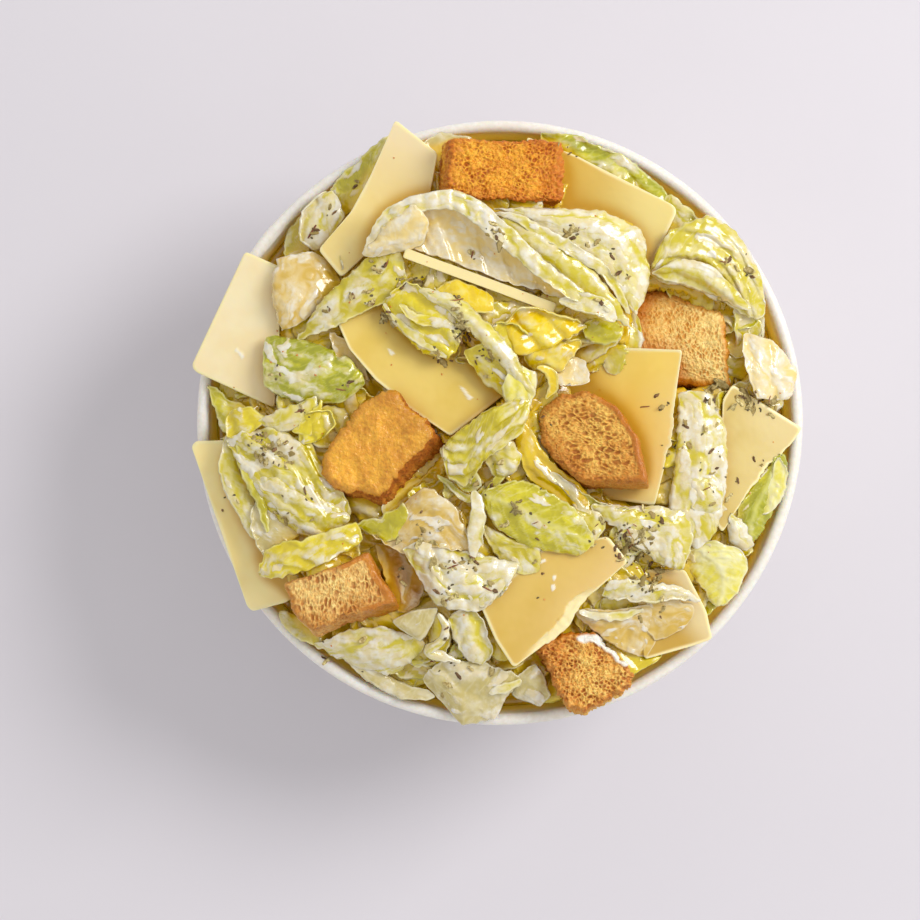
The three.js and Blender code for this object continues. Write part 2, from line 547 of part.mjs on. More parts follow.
// ---------------------------------------------------------------- assembly
function finish(color, roughness, metalness = 0) {
  return new THREE.MeshStandardMaterial({ color, roughness, metalness });
}

function namedMesh(name, geometry, material) {
  const mesh = new THREE.Mesh(geometry, material);
  mesh.name = name;
  return mesh;
}

function assemble() {
  const paper = finish(PAPER_WHITE, 0.45);
  const lettuce = finish(LETTUCE_GREEN, 0.4);
  const cheese = finish(CHEESE_YELLOW, 0.5);
  const toast = finish(TOAST_TAN, 0.8);
  lettuce.side = THREE.DoubleSide;

  const heap = namedMesh('lettuce_heap', geometryOf(cutFree(heapSolid())), lettuce);
  const slices = cheeseParts().map((geometry, i) => namedMesh(`cheese_slice_${i + 1}`, geometry, cheese));
  const croutons = croutonParts().map((geometry, i) => namedMesh(`crouton_${i + 1}`, geometry, toast));

  const solids = new Map([heap, ...slices].map((mesh) => [mesh, solidOf(mesh.geometry)]));
  sprinkle([heap, ...slices, ...croutons], solids);
  for (const [mesh, solid] of solids) {
    mesh.geometry = geometryOf(solid);
  }

  const salad = new THREE.Group();
  salad.add(namedMesh('bowl', bowlGeometry(), paper), heap, ...slices, ...croutons);
  return salad;
}

export default assemble();
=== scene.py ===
# %% [markdown]
# # A caesar salad heaped in its paper bowl
# The bowl, the heap of leaves, ten cheese slices and six croutons come from the construction
# model, which fixes every size and place. This lesson dresses them: it builds thin wavy leaves
# over a core, bread with real pores, soft slices, dried herbs and streaks of dressing.
# The script loads that model first and keeps its box.

# %% Load the frame
import json
import math

import bpy
import numpy as np
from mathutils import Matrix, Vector
from mathutils.bvhtree import BVHTree

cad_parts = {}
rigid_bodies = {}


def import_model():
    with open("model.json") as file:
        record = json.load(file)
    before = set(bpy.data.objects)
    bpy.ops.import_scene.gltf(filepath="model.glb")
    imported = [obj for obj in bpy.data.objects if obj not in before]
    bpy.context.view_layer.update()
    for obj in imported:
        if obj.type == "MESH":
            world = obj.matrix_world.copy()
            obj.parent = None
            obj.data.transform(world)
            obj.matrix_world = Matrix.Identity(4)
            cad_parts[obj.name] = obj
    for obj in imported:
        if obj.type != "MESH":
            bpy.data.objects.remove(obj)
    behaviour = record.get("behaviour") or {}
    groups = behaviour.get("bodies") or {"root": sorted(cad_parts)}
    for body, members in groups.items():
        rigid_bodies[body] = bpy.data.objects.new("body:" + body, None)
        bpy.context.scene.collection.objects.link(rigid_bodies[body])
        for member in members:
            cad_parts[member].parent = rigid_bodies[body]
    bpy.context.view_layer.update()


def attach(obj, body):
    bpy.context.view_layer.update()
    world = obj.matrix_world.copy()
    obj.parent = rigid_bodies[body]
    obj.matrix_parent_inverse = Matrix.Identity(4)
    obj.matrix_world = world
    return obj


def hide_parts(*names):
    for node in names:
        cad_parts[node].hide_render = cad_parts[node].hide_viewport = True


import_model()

MM = 0.001
BODY = "root"

# %% [markdown]
# ## Chance, but the same chance every time
# Nothing in food is straight. Crumpled leaves, crumb and crust all need smooth random
# bumps. Blender has noise textures, but a shape needs the same bumps in its mesh, so the
# noise is worked out here with numpy for all points at once. A whole number taken from
# each lattice cell and a seed decides every value, and so each run gives the same salad.


# %% Noise for shapes
def cell_number(cell, seed):
    """A number from 0 to 1 for each lattice cell: its whole coordinates times large odd
    numbers, added to the seed's own product, then mixed by shifts."""
    mixed = (cell * np.array([374761393, 668265263, 1103515245])).sum(-1) + seed * 1274126177
    mixed &= 0xFFFFFFFF
    mixed = ((mixed ^ (mixed >> 13)) * 1274126177) & 0xFFFFFFFF
    return ((mixed ^ (mixed >> 16)) & 0xFFFF) / 0xFFFF


def noise(points, size, seed=0):
    """Bumps from -1 to 1, about size across. Each lattice corner has a random slope, and a
    point blends the heights that its eight corners' slopes give, by a smooth step each way."""
    place = np.asarray(points) / size + 5.17 * seed
    cell = np.floor(place).astype(np.int64)
    inside = place - cell
    blend = inside**3 * (inside * (inside * 6 - 15) + 10)
    total = 0
    for corner in np.ndindex(2, 2, 2):
        slope = np.stack([cell_number(cell + corner, 3 * seed + k) for k in range(3)], -1) * 2 - 1
        weight = np.where(corner, blend, 1 - blend).prod(-1)
        total = total + (slope * (inside - corner)).sum(-1) * weight
    return np.clip(total * 1.5, -1, 1)


def layered(points, size, seed=0, layers=3):
    """Noise plus the same at half the size and half the height, and so on."""
    return sum(noise(points, size / 2**k, seed + 11 * k) / 2**k for k in range(layers)) / 1.5


def seed_distances(points, size, seed=0):
    """Distances, in cells, to the nearest and the second nearest of the seeds strewn one to
    each lattice cell. Their difference is zero on the borders between the seeds' realms."""
    place = np.asarray(points) / size
    cell = np.floor(place).astype(np.int64)
    first = np.full(place.shape[:-1], np.inf)
    second = first.copy()
    for step in np.ndindex(3, 3, 3):
        near = cell + np.array(step) - 1
        spot = near + np.stack([cell_number(near, 3 * seed + k) for k in range(3)], -1)
        away = np.linalg.norm(place - spot, axis=-1)
        second = np.minimum(second, np.maximum(first, away))
        first = np.minimum(first, away)
    return first, second


def ease(low, high, x):
    """0 below low, 1 above high, and a smooth step between them."""
    share = np.clip((x - low) / (high - low), 0, 1)
    return share * share * (3 - 2 * share)


print("noise at the origin:", round(float(noise(np.zeros(3), 1.0, 1)), 3))

# %% [markdown]
# ## Curves, rings and closed skins
# Every piece here is a closed skin. It could be pushed and pulled by hand in Edit Mode, but
# a skin that is a stack of rings between two end points is easy to work out as one array:
# rings x points x coordinates. A leaf, a slice, a crouton, a flake of herb and the bowl all
# fit that pattern, so one function turns any such stack into a mesh with its faces outside.


# %% Curves
CURVE_STEPS = 24


def curve_through(points, closed=False):
    """A centripetal Catmull-Rom curve: a cubic between each two points, whose end slopes
    come from the neighbours, weighted by the square roots of the distances."""
    start = np.asarray(points, float)
    if closed:
        before, after, beyond = (np.roll(start, -k, axis=0) for k in (-1, 1, 2))
    else:
        ends = np.vstack([2 * start[0] - start[1], start, 2 * start[-1] - start[-2]])
        before, start, after, beyond = ends[:-3], ends[1:-2], ends[2:-1], ends[3:]
    gaps = [np.linalg.norm(b - a, axis=-1)[:, None] ** 0.5 + 1e-9
            for a, b in ((before, start), (start, after), (after, beyond))]
    slope_out = (start - before) / gaps[0] - (after - before) / (gaps[0] + gaps[1])
    slope_out += (after - start) / gaps[1]
    slope_in = (after - start) / gaps[1] - (beyond - start) / (gaps[1] + gaps[2])
    slope_in += (beyond - after) / gaps[2]
    t = (np.arange(CURVE_STEPS) / CURVE_STEPS)[None, :, None]
    shape = [2 * t**3 - 3 * t**2 + 1, t**3 - 2 * t**2 + t, -2 * t**3 + 3 * t**2, t**3 - t**2]
    parts = [start, slope_out * gaps[1], after, slope_in * gaps[1]]
    curve = sum(s * p[:, None, :] for s, p in zip(shape, parts)).reshape(-1, 3)
    return curve if closed else np.vstack([curve, np.asarray(points[-1], float)])


def walk(curve, shares):
    """The points that lie at these shares of a polyline's length."""
    far = np.concatenate([[0], np.cumsum(np.linalg.norm(np.diff(curve, axis=0), axis=1))])
    return np.stack([np.interp(shares, far / far[-1], curve[:, k]) for k in range(3)], -1)


def length_of(curve):
    return float(np.linalg.norm(np.diff(curve, axis=0), axis=1).sum())


def unit(vectors):
    return vectors / np.maximum(np.linalg.norm(vectors, axis=-1, keepdims=True), 1e-9)


# %% Skins
def skin_faces(rings, spokes):
    """Four-sided faces between neighbouring rings, and fans to the two end points, which
    are the first and the last vertex."""
    ring, spoke = np.meshgrid(np.arange(rings - 1), np.arange(spokes), indexing="ij")
    nxt = (spoke + 1) % spokes
    quads = 1 + np.stack([ring * spokes + spoke, (ring + 1) * spokes + spoke,
                          (ring + 1) * spokes + nxt, ring * spokes + nxt], -1).reshape(-1, 4)
    spoke = np.arange(spokes)
    nxt = (spoke + 1) % spokes
    last = rings * spokes + 1
    base = 1 + (rings - 1) * spokes
    caps = np.concatenate([np.stack([0 * spoke, 1 + spoke, 1 + nxt], -1),
                           np.stack([last + 0 * spoke, base + nxt, base + spoke], -1)])
    return quads, caps


def volume_of(points, quads, caps):
    """Six times the volume inside, by summing the boxes that each triangle spans from the
    origin. It is negative when the faces look inwards."""
    triangles = np.concatenate([quads[:, :3], quads[:, [0, 2, 3]], caps])
    a, b, c = (points[triangles[:, k]] for k in range(3))
    return float((a * np.cross(b, c)).sum())


def facing_out(points, quads, caps):
    """The same faces, turned over if they look inwards."""
    if volume_of(points, quads, caps) < 0:
        return quads[:, ::-1], caps[:, ::-1]
    return quads, caps


def joined(skins):
    """Joins skins of points, quads, caps and masks into one."""
    offsets = np.cumsum([0] + [len(skin[0]) for skin in skins[:-1]])
    points = np.vstack([skin[0] for skin in skins])
    quads = np.vstack([skin[1] + offset for skin, offset in zip(skins, offsets)])
    caps = np.vstack([skin[2] + offset for skin, offset in zip(skins, offsets)])
    masks = {key: np.concatenate([skin[3][key] for skin in skins]) for key in skins[0][3]}
    return points, quads, caps, masks


def show(made):
    bpy.context.scene.collection.objects.link(made)
    return made


def add_mesh(name, points, quads, caps, material, masks=None, node=None, slot="lettuce"):
    """Puts millimetre points and faces into a smooth mesh object that rides on the body,
    with one number for each vertex and each mask, for the materials to read."""
    mesh = bpy.data.meshes.new(name)
    mesh.vertices.add(len(points))
    mesh.vertices.foreach_set("co", (points * MM).astype(np.float32).ravel())
    corners = np.concatenate([quads.ravel(), caps.ravel()]).astype(np.int32)
    starts = np.concatenate([np.arange(len(quads)) * 4, quads.size + np.arange(len(caps)) * 3])
    mesh.loops.add(len(corners))
    mesh.loops.foreach_set("vertex_index", corners)
    mesh.polygons.add(len(starts))
    mesh.polygons.foreach_set("loop_start", starts.astype(np.int32))
    mesh.update(calc_edges=True)
    mesh.shade_smooth()
    for key, values in (masks or {}).items():
        layer = mesh.attributes.new(key, "FLOAT", "POINT")
        layer.data.foreach_set("value", np.broadcast_to(values, len(points)).astype(np.float32))
    mesh.materials.append(material)
    made = show(bpy.data.objects.new(name, mesh))
    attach(made, BODY)
    if node:
        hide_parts(node)
    return made


def with_ends(mask):
    """A mask as one row, whose first and last values also serve the two end points."""
    row = np.asarray(mask, float).reshape(-1)
    return np.concatenate([row[:1], row, row[-1:]])


def add_skin(name, first, rings, last, material, masks=None, **about):
    """A closed skin from its first end point, its rings and its last end point."""
    points = np.vstack([first, rings.reshape(-1, 3), last])
    full = {key: with_ends(mask) for key, mask in (masks or {}).items()}
    quads, caps = facing_out(points, *skin_faces(*rings.shape[:2]))
    return add_mesh(name, points, quads, caps, material, full, **about)


def sheet_normals(sheet):
    """Unit normals of a grid of points, from the cross product of its two slopes."""
    return unit(np.cross(np.gradient(sheet, axis=0), np.gradient(sheet, axis=1)))


def ring_normals(rings):
    """Unit normals of a stack of closed rings."""
    around = np.roll(rings, -1, axis=1) - np.roll(rings, 1, axis=1)
    return unit(np.cross(around, np.gradient(rings, axis=0)))


# %% [markdown]
# ## Finishes from nodes
# Paper, leaf, cheese, bread and herb share a few effects: broad blotches of two colours,
# fine specks, and a thin film that lies over something else. Each effect is a node group
# with named sockets, built once. A material places the groups with its own colours and
# keeps the shader, so plain numbers such as roughness stay on the shader's own sockets.


# %% Node helpers
def colour(red, green, blue):
    """A colour from 0-255 screen values, as the linear light that shaders work with."""
    share = np.array([red, green, blue]) / 255
    linear = np.where(share <= 0.04045, share / 12.92, ((share + 0.055) / 1.055) ** 2.4)
    return (*[float(v) for v in linear], 1.0)


def shades(screen_colours):
    return [colour(*values) for values in screen_colours]


def put(tree, kind, inputs=None, **settings):
    """Adds a node, sets its options, and gives its inputs a number or another's output."""
    node = tree.nodes.new(kind)
    for key, value in settings.items():
        setattr(node, key, value)
    for key, value in (inputs or {}).items():
        if isinstance(value, bpy.types.NodeSocket):
            tree.links.new(value, node.inputs[key])
        else:
            node.inputs[key].default_value = value
    return node


def blend_colours(tree, factor, first, second):
    """Factor, A and B of a colour Mix node are its sockets 0, 6 and 7."""
    return put(tree, "ShaderNodeMix", {0: factor, 6: first, 7: second}, data_type="RGBA").outputs[2]


def mapped(tree, value, low, high, to_low=0.0, to_high=1.0):
    inputs = {"Value": value, "From Min": low, "From Max": high, "To Min": to_low, "To Max": to_high}
    return put(tree, "ShaderNodeMapRange", inputs, interpolation_type="SMOOTHSTEP").outputs[0]


def maths(tree, operation, first, second=0.0):
    return put(tree, "ShaderNodeMath", {0: first, 1: second}, operation=operation).outputs[0]


def new_group(name, inputs, outputs):
    """An empty node group with these sockets, its input node and its output node."""
    tree = bpy.data.node_groups.new(name, "ShaderNodeTree")
    for title, kind in inputs:
        tree.interface.new_socket(title, in_out="INPUT", socket_type=kind)
    for title, kind in outputs:
        tree.interface.new_socket(title, in_out="OUTPUT", socket_type=kind)
    return tree, tree.nodes.new("NodeGroupInput").outputs, tree.nodes.new("NodeGroupOutput").inputs


FLOAT, COLOUR, VECTOR = "NodeSocketFloat", "NodeSocketColor", "NodeSocketVector"


# %% Shared effects
def blotch_group():
    """Broad soft patches of two colours, by noise in three sizes."""
    inputs = [("Place", VECTOR), ("Size", FLOAT), ("First", COLOUR), ("Second", COLOUR)]
    tree, given, out = new_group("blotches", inputs, [("Colour", COLOUR), ("Mask", FLOAT)])
    cloud = put(tree, "ShaderNodeTexNoise",
                {"Vector": given["Place"], "Scale": given["Size"], "Detail": 3.0, "Roughness": 0.55})
    mask = mapped(tree, cloud.outputs["Fac"], 0.36, 0.64)
    tree.links.new(blend_colours(tree, mask, given["First"], given["Second"]), out["Colour"])
    tree.links.new(mask, out["Mask"])
    return tree


def speck_group():
    """Small dots strewn over a colour: the inside of Voronoi cells below a size, kept only
    where a second noise is high."""
    inputs = [("Place", VECTOR), ("Size", FLOAT), ("Ground", COLOUR), ("Speck", COLOUR), ("Share", FLOAT)]
    tree, given, out = new_group("specks", inputs, [("Colour", COLOUR), ("Mask", FLOAT)])
    dots = put(tree, "ShaderNodeTexVoronoi", {"Vector": given["Place"], "Scale": given["Size"]})
    dot = mapped(tree, dots.outputs["Distance"], 0.16, 0.06)
    chosen = put(tree, "ShaderNodeSeparateColor", {0: dots.outputs["Color"]}).outputs[0]
    kept = maths(tree, "LESS_THAN", chosen, given["Share"])
    mask = maths(tree, "MULTIPLY", dot, kept)
    tree.links.new(blend_colours(tree, mask, given["Ground"], given["Speck"]), out["Colour"])
    tree.links.new(mask, out["Mask"])
    return tree


def film_group():
    """A half-clear film over a ground: its cover is a mask, frayed by fine streaks."""
    inputs = [("Place", VECTOR), ("Size", FLOAT), ("Ground", COLOUR), ("Film", COLOUR), ("Cover", FLOAT)]
    outputs = [("Colour", COLOUR), ("Cover", FLOAT), ("Height", FLOAT)]
    tree, given, out = new_group("film", inputs, outputs)
    streaks = put(tree, "ShaderNodeTexNoise",
                  {"Vector": given["Place"], "Scale": given["Size"], "Detail": 4.0, "Distortion": 0.9})
    frayed = maths(tree, "ADD", given["Cover"], mapped(tree, streaks.outputs["Fac"], 0.3, 0.7, -0.1, 0.1))
    cover = mapped(tree, frayed, 0.16, 0.9, 0.0, 0.86)
    tree.links.new(blend_colours(tree, cover, given["Ground"], given["Film"]), out["Colour"])
    tree.links.new(cover, out["Cover"])
    wet = put(tree, "ShaderNodeTexNoise", {"Vector": given["Place"], "Scale": given["Size"], "Detail": 0.5})
    tree.links.new(maths(tree, "ADD", wet.outputs["Fac"], maths(tree, "MULTIPLY", cover, 0.5)), out["Height"])
    return tree


BLOTCHES, SPECKS, FILM = blotch_group(), speck_group(), film_group()


def use_group(tree, group, **inputs):
    node = put(tree, "ShaderNodeGroup", None, node_tree=group)
    for key, value in inputs.items():
        if isinstance(value, bpy.types.NodeSocket):
            tree.links.new(value, node.inputs[key])
        else:
            node.inputs[key].default_value = value
    return node.outputs


def blotches(tree, place, size, first, second):
    return use_group(tree, BLOTCHES, Place=place, Size=size, First=first, Second=second)


def new_finish(name, roughness, **plain):
    """A material with its tree, its shader, object coordinates, and plain shader numbers."""
    material = bpy.data.materials.new(name)
    material.use_nodes = True
    tree = material.node_tree
    shader = tree.nodes["Principled BSDF"]
    shader.inputs["Roughness"].default_value = roughness
    for key, value in plain.items():
        shader.inputs[key.replace("_", " ")].default_value = value
    place = tree.nodes.new("ShaderNodeTexCoord").outputs["Object"]
    return material, tree, shader, place


def mask_of(tree, name):
    return put(tree, "ShaderNodeAttribute", attribute_name=name).outputs["Fac"]


def bump(tree, shader, height, strength, distance):
    """Bends the shader's normal by a height, given in metres at full strength."""
    inputs = {"Height": height, "Strength": strength, "Distance": distance}
    tree.links.new(put(tree, "ShaderNodeBump", inputs).outputs[0], shader.inputs["Normal"])


print("shared effects:", [g.name for g in (BLOTCHES, SPECKS, FILM)])

# %% [markdown]
# ## The paper bowl
# The real bowl is white coated paper: a cone rolled from one blank, with a glued seam, a
# recessed base and a rim rolled outwards into a bead. A lathed profile is the plain way to
# make it, and here the radius also depends a little on the angle: one layer of paper steps
# over the other at the seam, and the bead flattens there.

# %% Bowl sizes
RIM_RADIUS = 75.0
BOWL_HEIGHT = 60.0
FOOT_RADIUS = 60.0
FOOT_WIDTH = 2.4
BASE_RECESS = 3.5
PAPER = 0.8
BEAD_RADIUS = 1.5
SEAM_ANGLE = math.radians(138.7)
SEAM_STEP = 0.28
SEAM_WIDTH = math.radians(5.5)
BOWL_SPOKES = 288

BEAD_PLACE = np.array([RIM_RADIUS - BEAD_RADIUS, BOWL_HEIGHT - BEAD_RADIUS])
WALL_SLOPE = (BEAD_PLACE[0] - BEAD_RADIUS / 2 - FOOT_RADIUS) / BEAD_PLACE[1]
FLOOR = BASE_RECESS + PAPER


def wall_inside(z):
    return FOOT_RADIUS + WALL_SLOPE * z - PAPER


# %% Paper finish
def paper_finish():
    """White coated board: faint fibres as blotches and bump, a soft sheen, thin stains, and a warm painted
    shade where the wall lies low under the salad's top.
    """
    material, tree, shader, place = new_finish(
        "paper", 0.42, Coat_Weight=0.15, Coat_Roughness=0.35, Subsurface_Weight=0.6,
        Subsurface_Radius=(1.0, 0.75, 0.45), Subsurface_Scale=0.003)
    fibres = blotches(tree, place, 900.0, colour(240, 236, 229), colour(233, 228, 219))
    stains = use_group(tree, SPECKS, Place=place, Size=170.0, Ground=fibres["Colour"],
                       Speck=colour(206, 150, 88), Share=0.012)
    # Painted shade: the inner wall is tinted warm gold by the painted-shade mask, standing in for light
    # bounced from the salad.
    painted_wall_shade = blend_colours(tree, mask_of(tree, "hollow"), stains["Colour"], colour(254, 220, 138))
    tree.links.new(painted_wall_shade, shader.inputs["Base Color"])
    bump(tree, shader, fibres["Mask"], 0.25, 0.0001)
    return material


# %% Bowl shape
def bowl_profile():
    """Radius and height from the middle of the underside round the foot, up the outside,
    round the bead and down the inside to the middle of the floor."""
    foot = [[FOOT_RADIUS - FOOT_WIDTH, BASE_RECESS], [FOOT_RADIUS - FOOT_WIDTH, 0.25],
            [FOOT_RADIUS - FOOT_WIDTH + 0.25, 0.0], [FOOT_RADIUS - 0.25, 0.0], [FOOT_RADIUS, 0.25]]
    base = [[r, BASE_RECESS] for r in (12, 30, 46)]
    bead_angles = np.radians(np.linspace(-120, 180, 26))
    bead = BEAD_PLACE + BEAD_RADIUS * np.stack([np.cos(bead_angles), np.sin(bead_angles)], -1)
    outside = [[FOOT_RADIUS + WALL_SLOPE * z, z] for z in np.linspace(2, BEAD_PLACE[1] - BEAD_RADIUS, 24)]
    inside = [[wall_inside(z), z] for z in np.linspace(BEAD_PLACE[1] - BEAD_RADIUS, FLOOR + 1.2, 26)]
    floor = [[wall_inside(FLOOR) - 1.2, FLOOR], [46, FLOOR], [30, FLOOR], [12, FLOOR]]
    return np.array([*base, *foot, *outside, *bead, *inside, *floor])


def build_bowl():
    """Turns the profile about Z. Past the seam's angle the paper is one step thicker, and
    the step fades out over the width of the glued lap."""
    profile = bowl_profile()
    angle = np.arange(BOWL_SPOKES) / BOWL_SPOKES * 2 * math.pi
    past = (angle - SEAM_ANGLE) / SEAM_WIDTH
    lap = np.where((past > 0) & (past < 1), 1 - ease(0.85, 1.0, past), 0)
    lap *= ease(-0.02, 0.02, past)
    radius, height = profile[:, None, 0], profile[:, None, 1] + 0 * angle
    wall = ease(4, 10, height)
    inner = (profile[:, None, 0] < wall_inside(profile[:, None, 1]) + 0.3) & (height > FLOOR + 1)
    wobble = 0.12 * np.sin(2 * angle + 0.6) + 0.06 * np.sin(5 * angle)
    step = np.where(inner, -0.8, 0.5) * SEAM_STEP * lap
    radius = radius + wall * (wobble * (height / BOWL_HEIGHT) ** 2 + step)
    height = height - 0.22 * lap * ease(BOWL_HEIGHT - 2.5, BOWL_HEIGHT - 0.5, height)
    rings = np.stack([radius * np.cos(angle), radius * np.sin(angle), height], -1)
    made = add_skin("paper_bowl", [0, 0, BASE_RECESS], rings, [0, 0, FLOOR], paper_finish(),
                    node="bowl", slot="paper")
    print("bowl:", len(made.data.polygons), "faces, seam at", round(math.degrees(SEAM_ANGLE)), "degrees")


build_bowl()

# %% [markdown]
# ## Where the toppings lie
# The slices and croutons are the landmarks: the leaves pass over some and under others.
# Corner points close to those of the construction model say where they are. A slice bends
# gently, so its height over any place is a thin-plate surface through its corners, the
# shape that a bendy sheet takes over a few props.

# %% Slices and croutons
SLICES = {
    1: [[-25.7, 74, 70.8], [-15.3, 65.6, 73], [-17.4, 54.2, 73], [-23.5, 49.7, 72], [-38.9, 35.4, 70.3],
        [-44.6, 42.3, 69.3], [-36.6, 51.5, 70], [-31.7, 60.6, 70.3]],
    2: [[-62.9, 42.3, 62.3], [-54.2, 38.4, 65.3], [-54.2, 23, 66], [-55.4, 3.5, 66], [-75.2, 12.6, 61.9],
        [-76.2, 14.1, 61.8]],
    3: [[6.4, 70.5, 63.6], [18.6, 65.8, 64.5], [42.6, 53.2, 68.3], [43.3, 51.7, 68.5], [36.6, 37.4, 70.5],
        [9.9, 51.5, 66]],
    5: [[-40.3, 25.5, 72.2], [-37, 18, 72.7], [-30.6, 10.4, 73.4], [-22, 3.2, 74.4], [-12.2, -3.4, 75.5],
        [2, 7.5, 73.5], [-22, 33, 70.5]],
    6: [[19.3, 18.8, 69], [44.1, 17.6, 75.9], [42.8, 8.2, 75.1], [41.6, -4.2, 74.1], [37.6, -20.3, 72.2],
        [26, -18.6, 69.1], [16, -6, 66.9], [14.5, 8, 67.2]],
    7: [[56.9, 9.4, 67.5], [74.5, -1.2, 61.9], [71.8, -5.4, 62.3], [65.6, -11.1, 64], [59.6, -19.1, 65.8],
        [54.5, -27, 67], [53, -25, 67.3], [54.5, 5.7, 68]],
    8: [[-5, -44.6, 73.5], [9.9, -30.7, 74], [26.2, -27.7, 73], [31.2, -33.9, 72.5], [19.8, -44.1, 72.5],
        [16.6, -50, 72.3], [3.2, -59.9, 71.7], [-1.2, -53.2, 72.3]],
    9: [[34.7, -36, 67], [45.3, -36, 66.5], [50.7, -46.3, 65.5], [52.2, -53.2, 65], [47, -55, 65],
        [35.4, -58.2, 65.5]],
    10: [[-76.2, -5.9, 61.8], [-75.2, -4.5, 61.9], [-61, -4, 64], [-48, -41, 64.3], [-52.7, -44.2, 63.8],
        [-61.1, -46.5, 62.3], [-62.4, -45.3, 62.1]],
}
STANDING_SLICE = {"top": [[-23, 42.2, 80], [-23.8, 39.9, 80], [12.7, 26.4, 80], [13.5, 28.7, 80]],
    "down": [0, 0, -13]}
CROUTONS = {
    1: {"top": [[-12.6, 68.3, 82], [-13.4, 54.3, 82], [15.3, 53.4, 79], [14.8, 68, 79]],
        "down": [-2, -0.5, -12]},
    2: {"top": [[35.5, 33.4, 63.5], [32.8, 27, 67.5], [32, 18.9, 71.5], [43, 9.8, 65], [57, 8.8, 64.5],
        [55.6, 19, 71.5], [54.6, 27, 67.5], [45, 30.8, 65.5]], "down": [0.3, -0.8, -8.5]},
    3: {"top": [[-25, 7.4, 80.4], [-29.4, 7.2, 80.4], [-34.5, 3.8, 79], [-39.5, -2, 77.5],
        [-43.6, -8.5, 76.5], [-43.4, -12.6, 76.2], [-40.5, -15.6, 76.4], [-34, -18, 77], [-29.5, -19.2, 78],
        [-24, -12, 79.5], [-15.4, -3.2, 80.6], [-19.2, 1.8, 80.6]], "down": [2.2, -3.2, -13.5]},
    4: {"top": [[8.8, 2.5, 77.5], [9.5, -4.5, 77.6], [14, -10.5, 78.5], [20, -14.6, 80.5], [35, -14, 84.5],
        [32.5, -3, 84], [28, 4.5, 83], [22, 7.4, 81.5], [15, 7, 79.5]], "down": [1.2, -1.8, -10.5]},
    5: {"top": [[-53, -38.8, 78], [-50.5, -45, 77.8], [-46, -51, 77.8], [-38, -47.3, 78.4],
        [-25.3, -43.8, 79], [-31.8, -31.4, 80], [-39.6, -34.8, 80]], "down": [0.8, -2.2, -11.3]},
    6: {"top": [[10.5, -57, 70.2], [12.6, -63, 71], [16.5, -69.6, 72], [20, -71, 72.5], [30, -65, 73],
        [32.7, -62, 73], [30.5, -58.7, 72.8], [22.5, -51.5, 71.4], [17, -50.9, 70.6], [13.8, -52.2, 70.2],
        [7.8, -56, 70]], "down": [0.2, -1.2, -11]},
}
CHEESE_THICKNESS = 2.0
GAP = 0.3
PLATE_SOFTNESS = 400


# %% Bent sheets and footprints
def bent_height(corners):
    """The height over x, y of a bendy sheet close to the corners: a plane plus, for each
    corner, a weight times r squared times the logarithm of r, the distance to it. The
    softer the sheet's props, the flatter it stays between them."""
    props = np.asarray(corners, float)

    def bend(x, y):
        square = (x[..., None] - props[:, 0]) ** 2 + (y[..., None] - props[:, 1]) ** 2 + 1e-6
        return square * np.log(square)

    count = len(props)
    plane = np.column_stack([np.ones(count), props[:, :2]])
    stiff = bend(props[:, 0], props[:, 1]) + PLATE_SOFTNESS * np.eye(count)
    system = np.block([[stiff, plane], [plane.T, np.zeros((3, 3))]])
    weights = np.linalg.solve(system, np.concatenate([props[:, 2], np.zeros(3)]))

    def height(x, y):
        flat = weights[count] + weights[count + 1] * x + weights[count + 2] * y
        return flat + bend(x, y) @ weights[:count]

    return height


def covers(corners, x, y, grow=0.0):
    """Whether each place lies within a straight-sided outline, grown from its middle. A
    place is inside when a ray from it crosses the outline an odd number of times."""
    ring = np.asarray(corners, float)[:, :2]
    middle = ring.mean(0)
    ring = ring + unit(ring - middle) * grow
    inside = np.zeros(np.shape(x), bool)
    for (x0, y0), (x1, y1) in zip(ring, np.roll(ring, -1, axis=0)):
        crosses = (y0 > y) != (y1 > y)
        reach = x0 + (y - y0) * (x1 - x0) / (y1 - y0 if y1 != y0 else 1e-9)
        inside ^= crosses & (x < reach)
    return inside


SLICE_HEIGHT = {number: bent_height(corners) for number, corners in SLICES.items()}


def ceiling(x, y):
    """The lowest underside of any topping above a place, less a little air."""
    low = np.full(np.shape(x), np.inf)
    for number, corners in SLICES.items():
        under = SLICE_HEIGHT[number](x, y) - CHEESE_THICKNESS / 2 - 3 * GAP
        low = np.where(covers(corners, x, y, 0.6), np.minimum(low, under), low)
    for crouton in CROUTONS.values():
        top = np.asarray(crouton["top"], float)
        foot = top + crouton["down"]
        for outline in (top, foot):
            low = np.where(covers(outline, x, y, 0.3), np.minimum(low, foot[:, 2].min()), low)
    return low


def settle(points):
    """Moves points that fall inside a slice to its nearer face."""
    x, y, z = points[..., 0], points[..., 1], points[..., 2].copy()
    clear = CHEESE_THICKNESS / 2 + 0.35
    for number, corners in SLICES.items():
        inside = covers(corners, x, y, 0.25)
        middle = SLICE_HEIGHT[number](x, y)
        above = z > middle
        z = np.where(inside & above, np.maximum(z, middle + clear), z)
        z = np.where(inside & ~above, np.minimum(z, middle - clear), z)
    return np.stack([x, y, z], -1)


print("toppings:", len(SLICES) + 1, "slices and", len(CROUTONS), "croutons")

# %% [markdown]
# ## Lettuce finish
# A dressed leaf shows three things at once: the leaf itself, from white rib to yellow-green
# blade, the pale net of its veins, and over both a cream film. Here the film lies thicker on
# the ridges and is thinned in the creases, and the grooves take a deeper blade colour: partly
# the leaf's own and partly painted highlight on the ridges and painted shade in the creases.
# Painting that by hand for eighty leaves is hopeless. Each leaf's shape knows where its
# veins, grooves and edges are, so it stores them as numbers on its vertices, and one material
# recipe mixes colour by them. Twelve finishes come out of it, from white through green and
# yellow to brown; the brown one and the gold one for the gaps are painted shade.


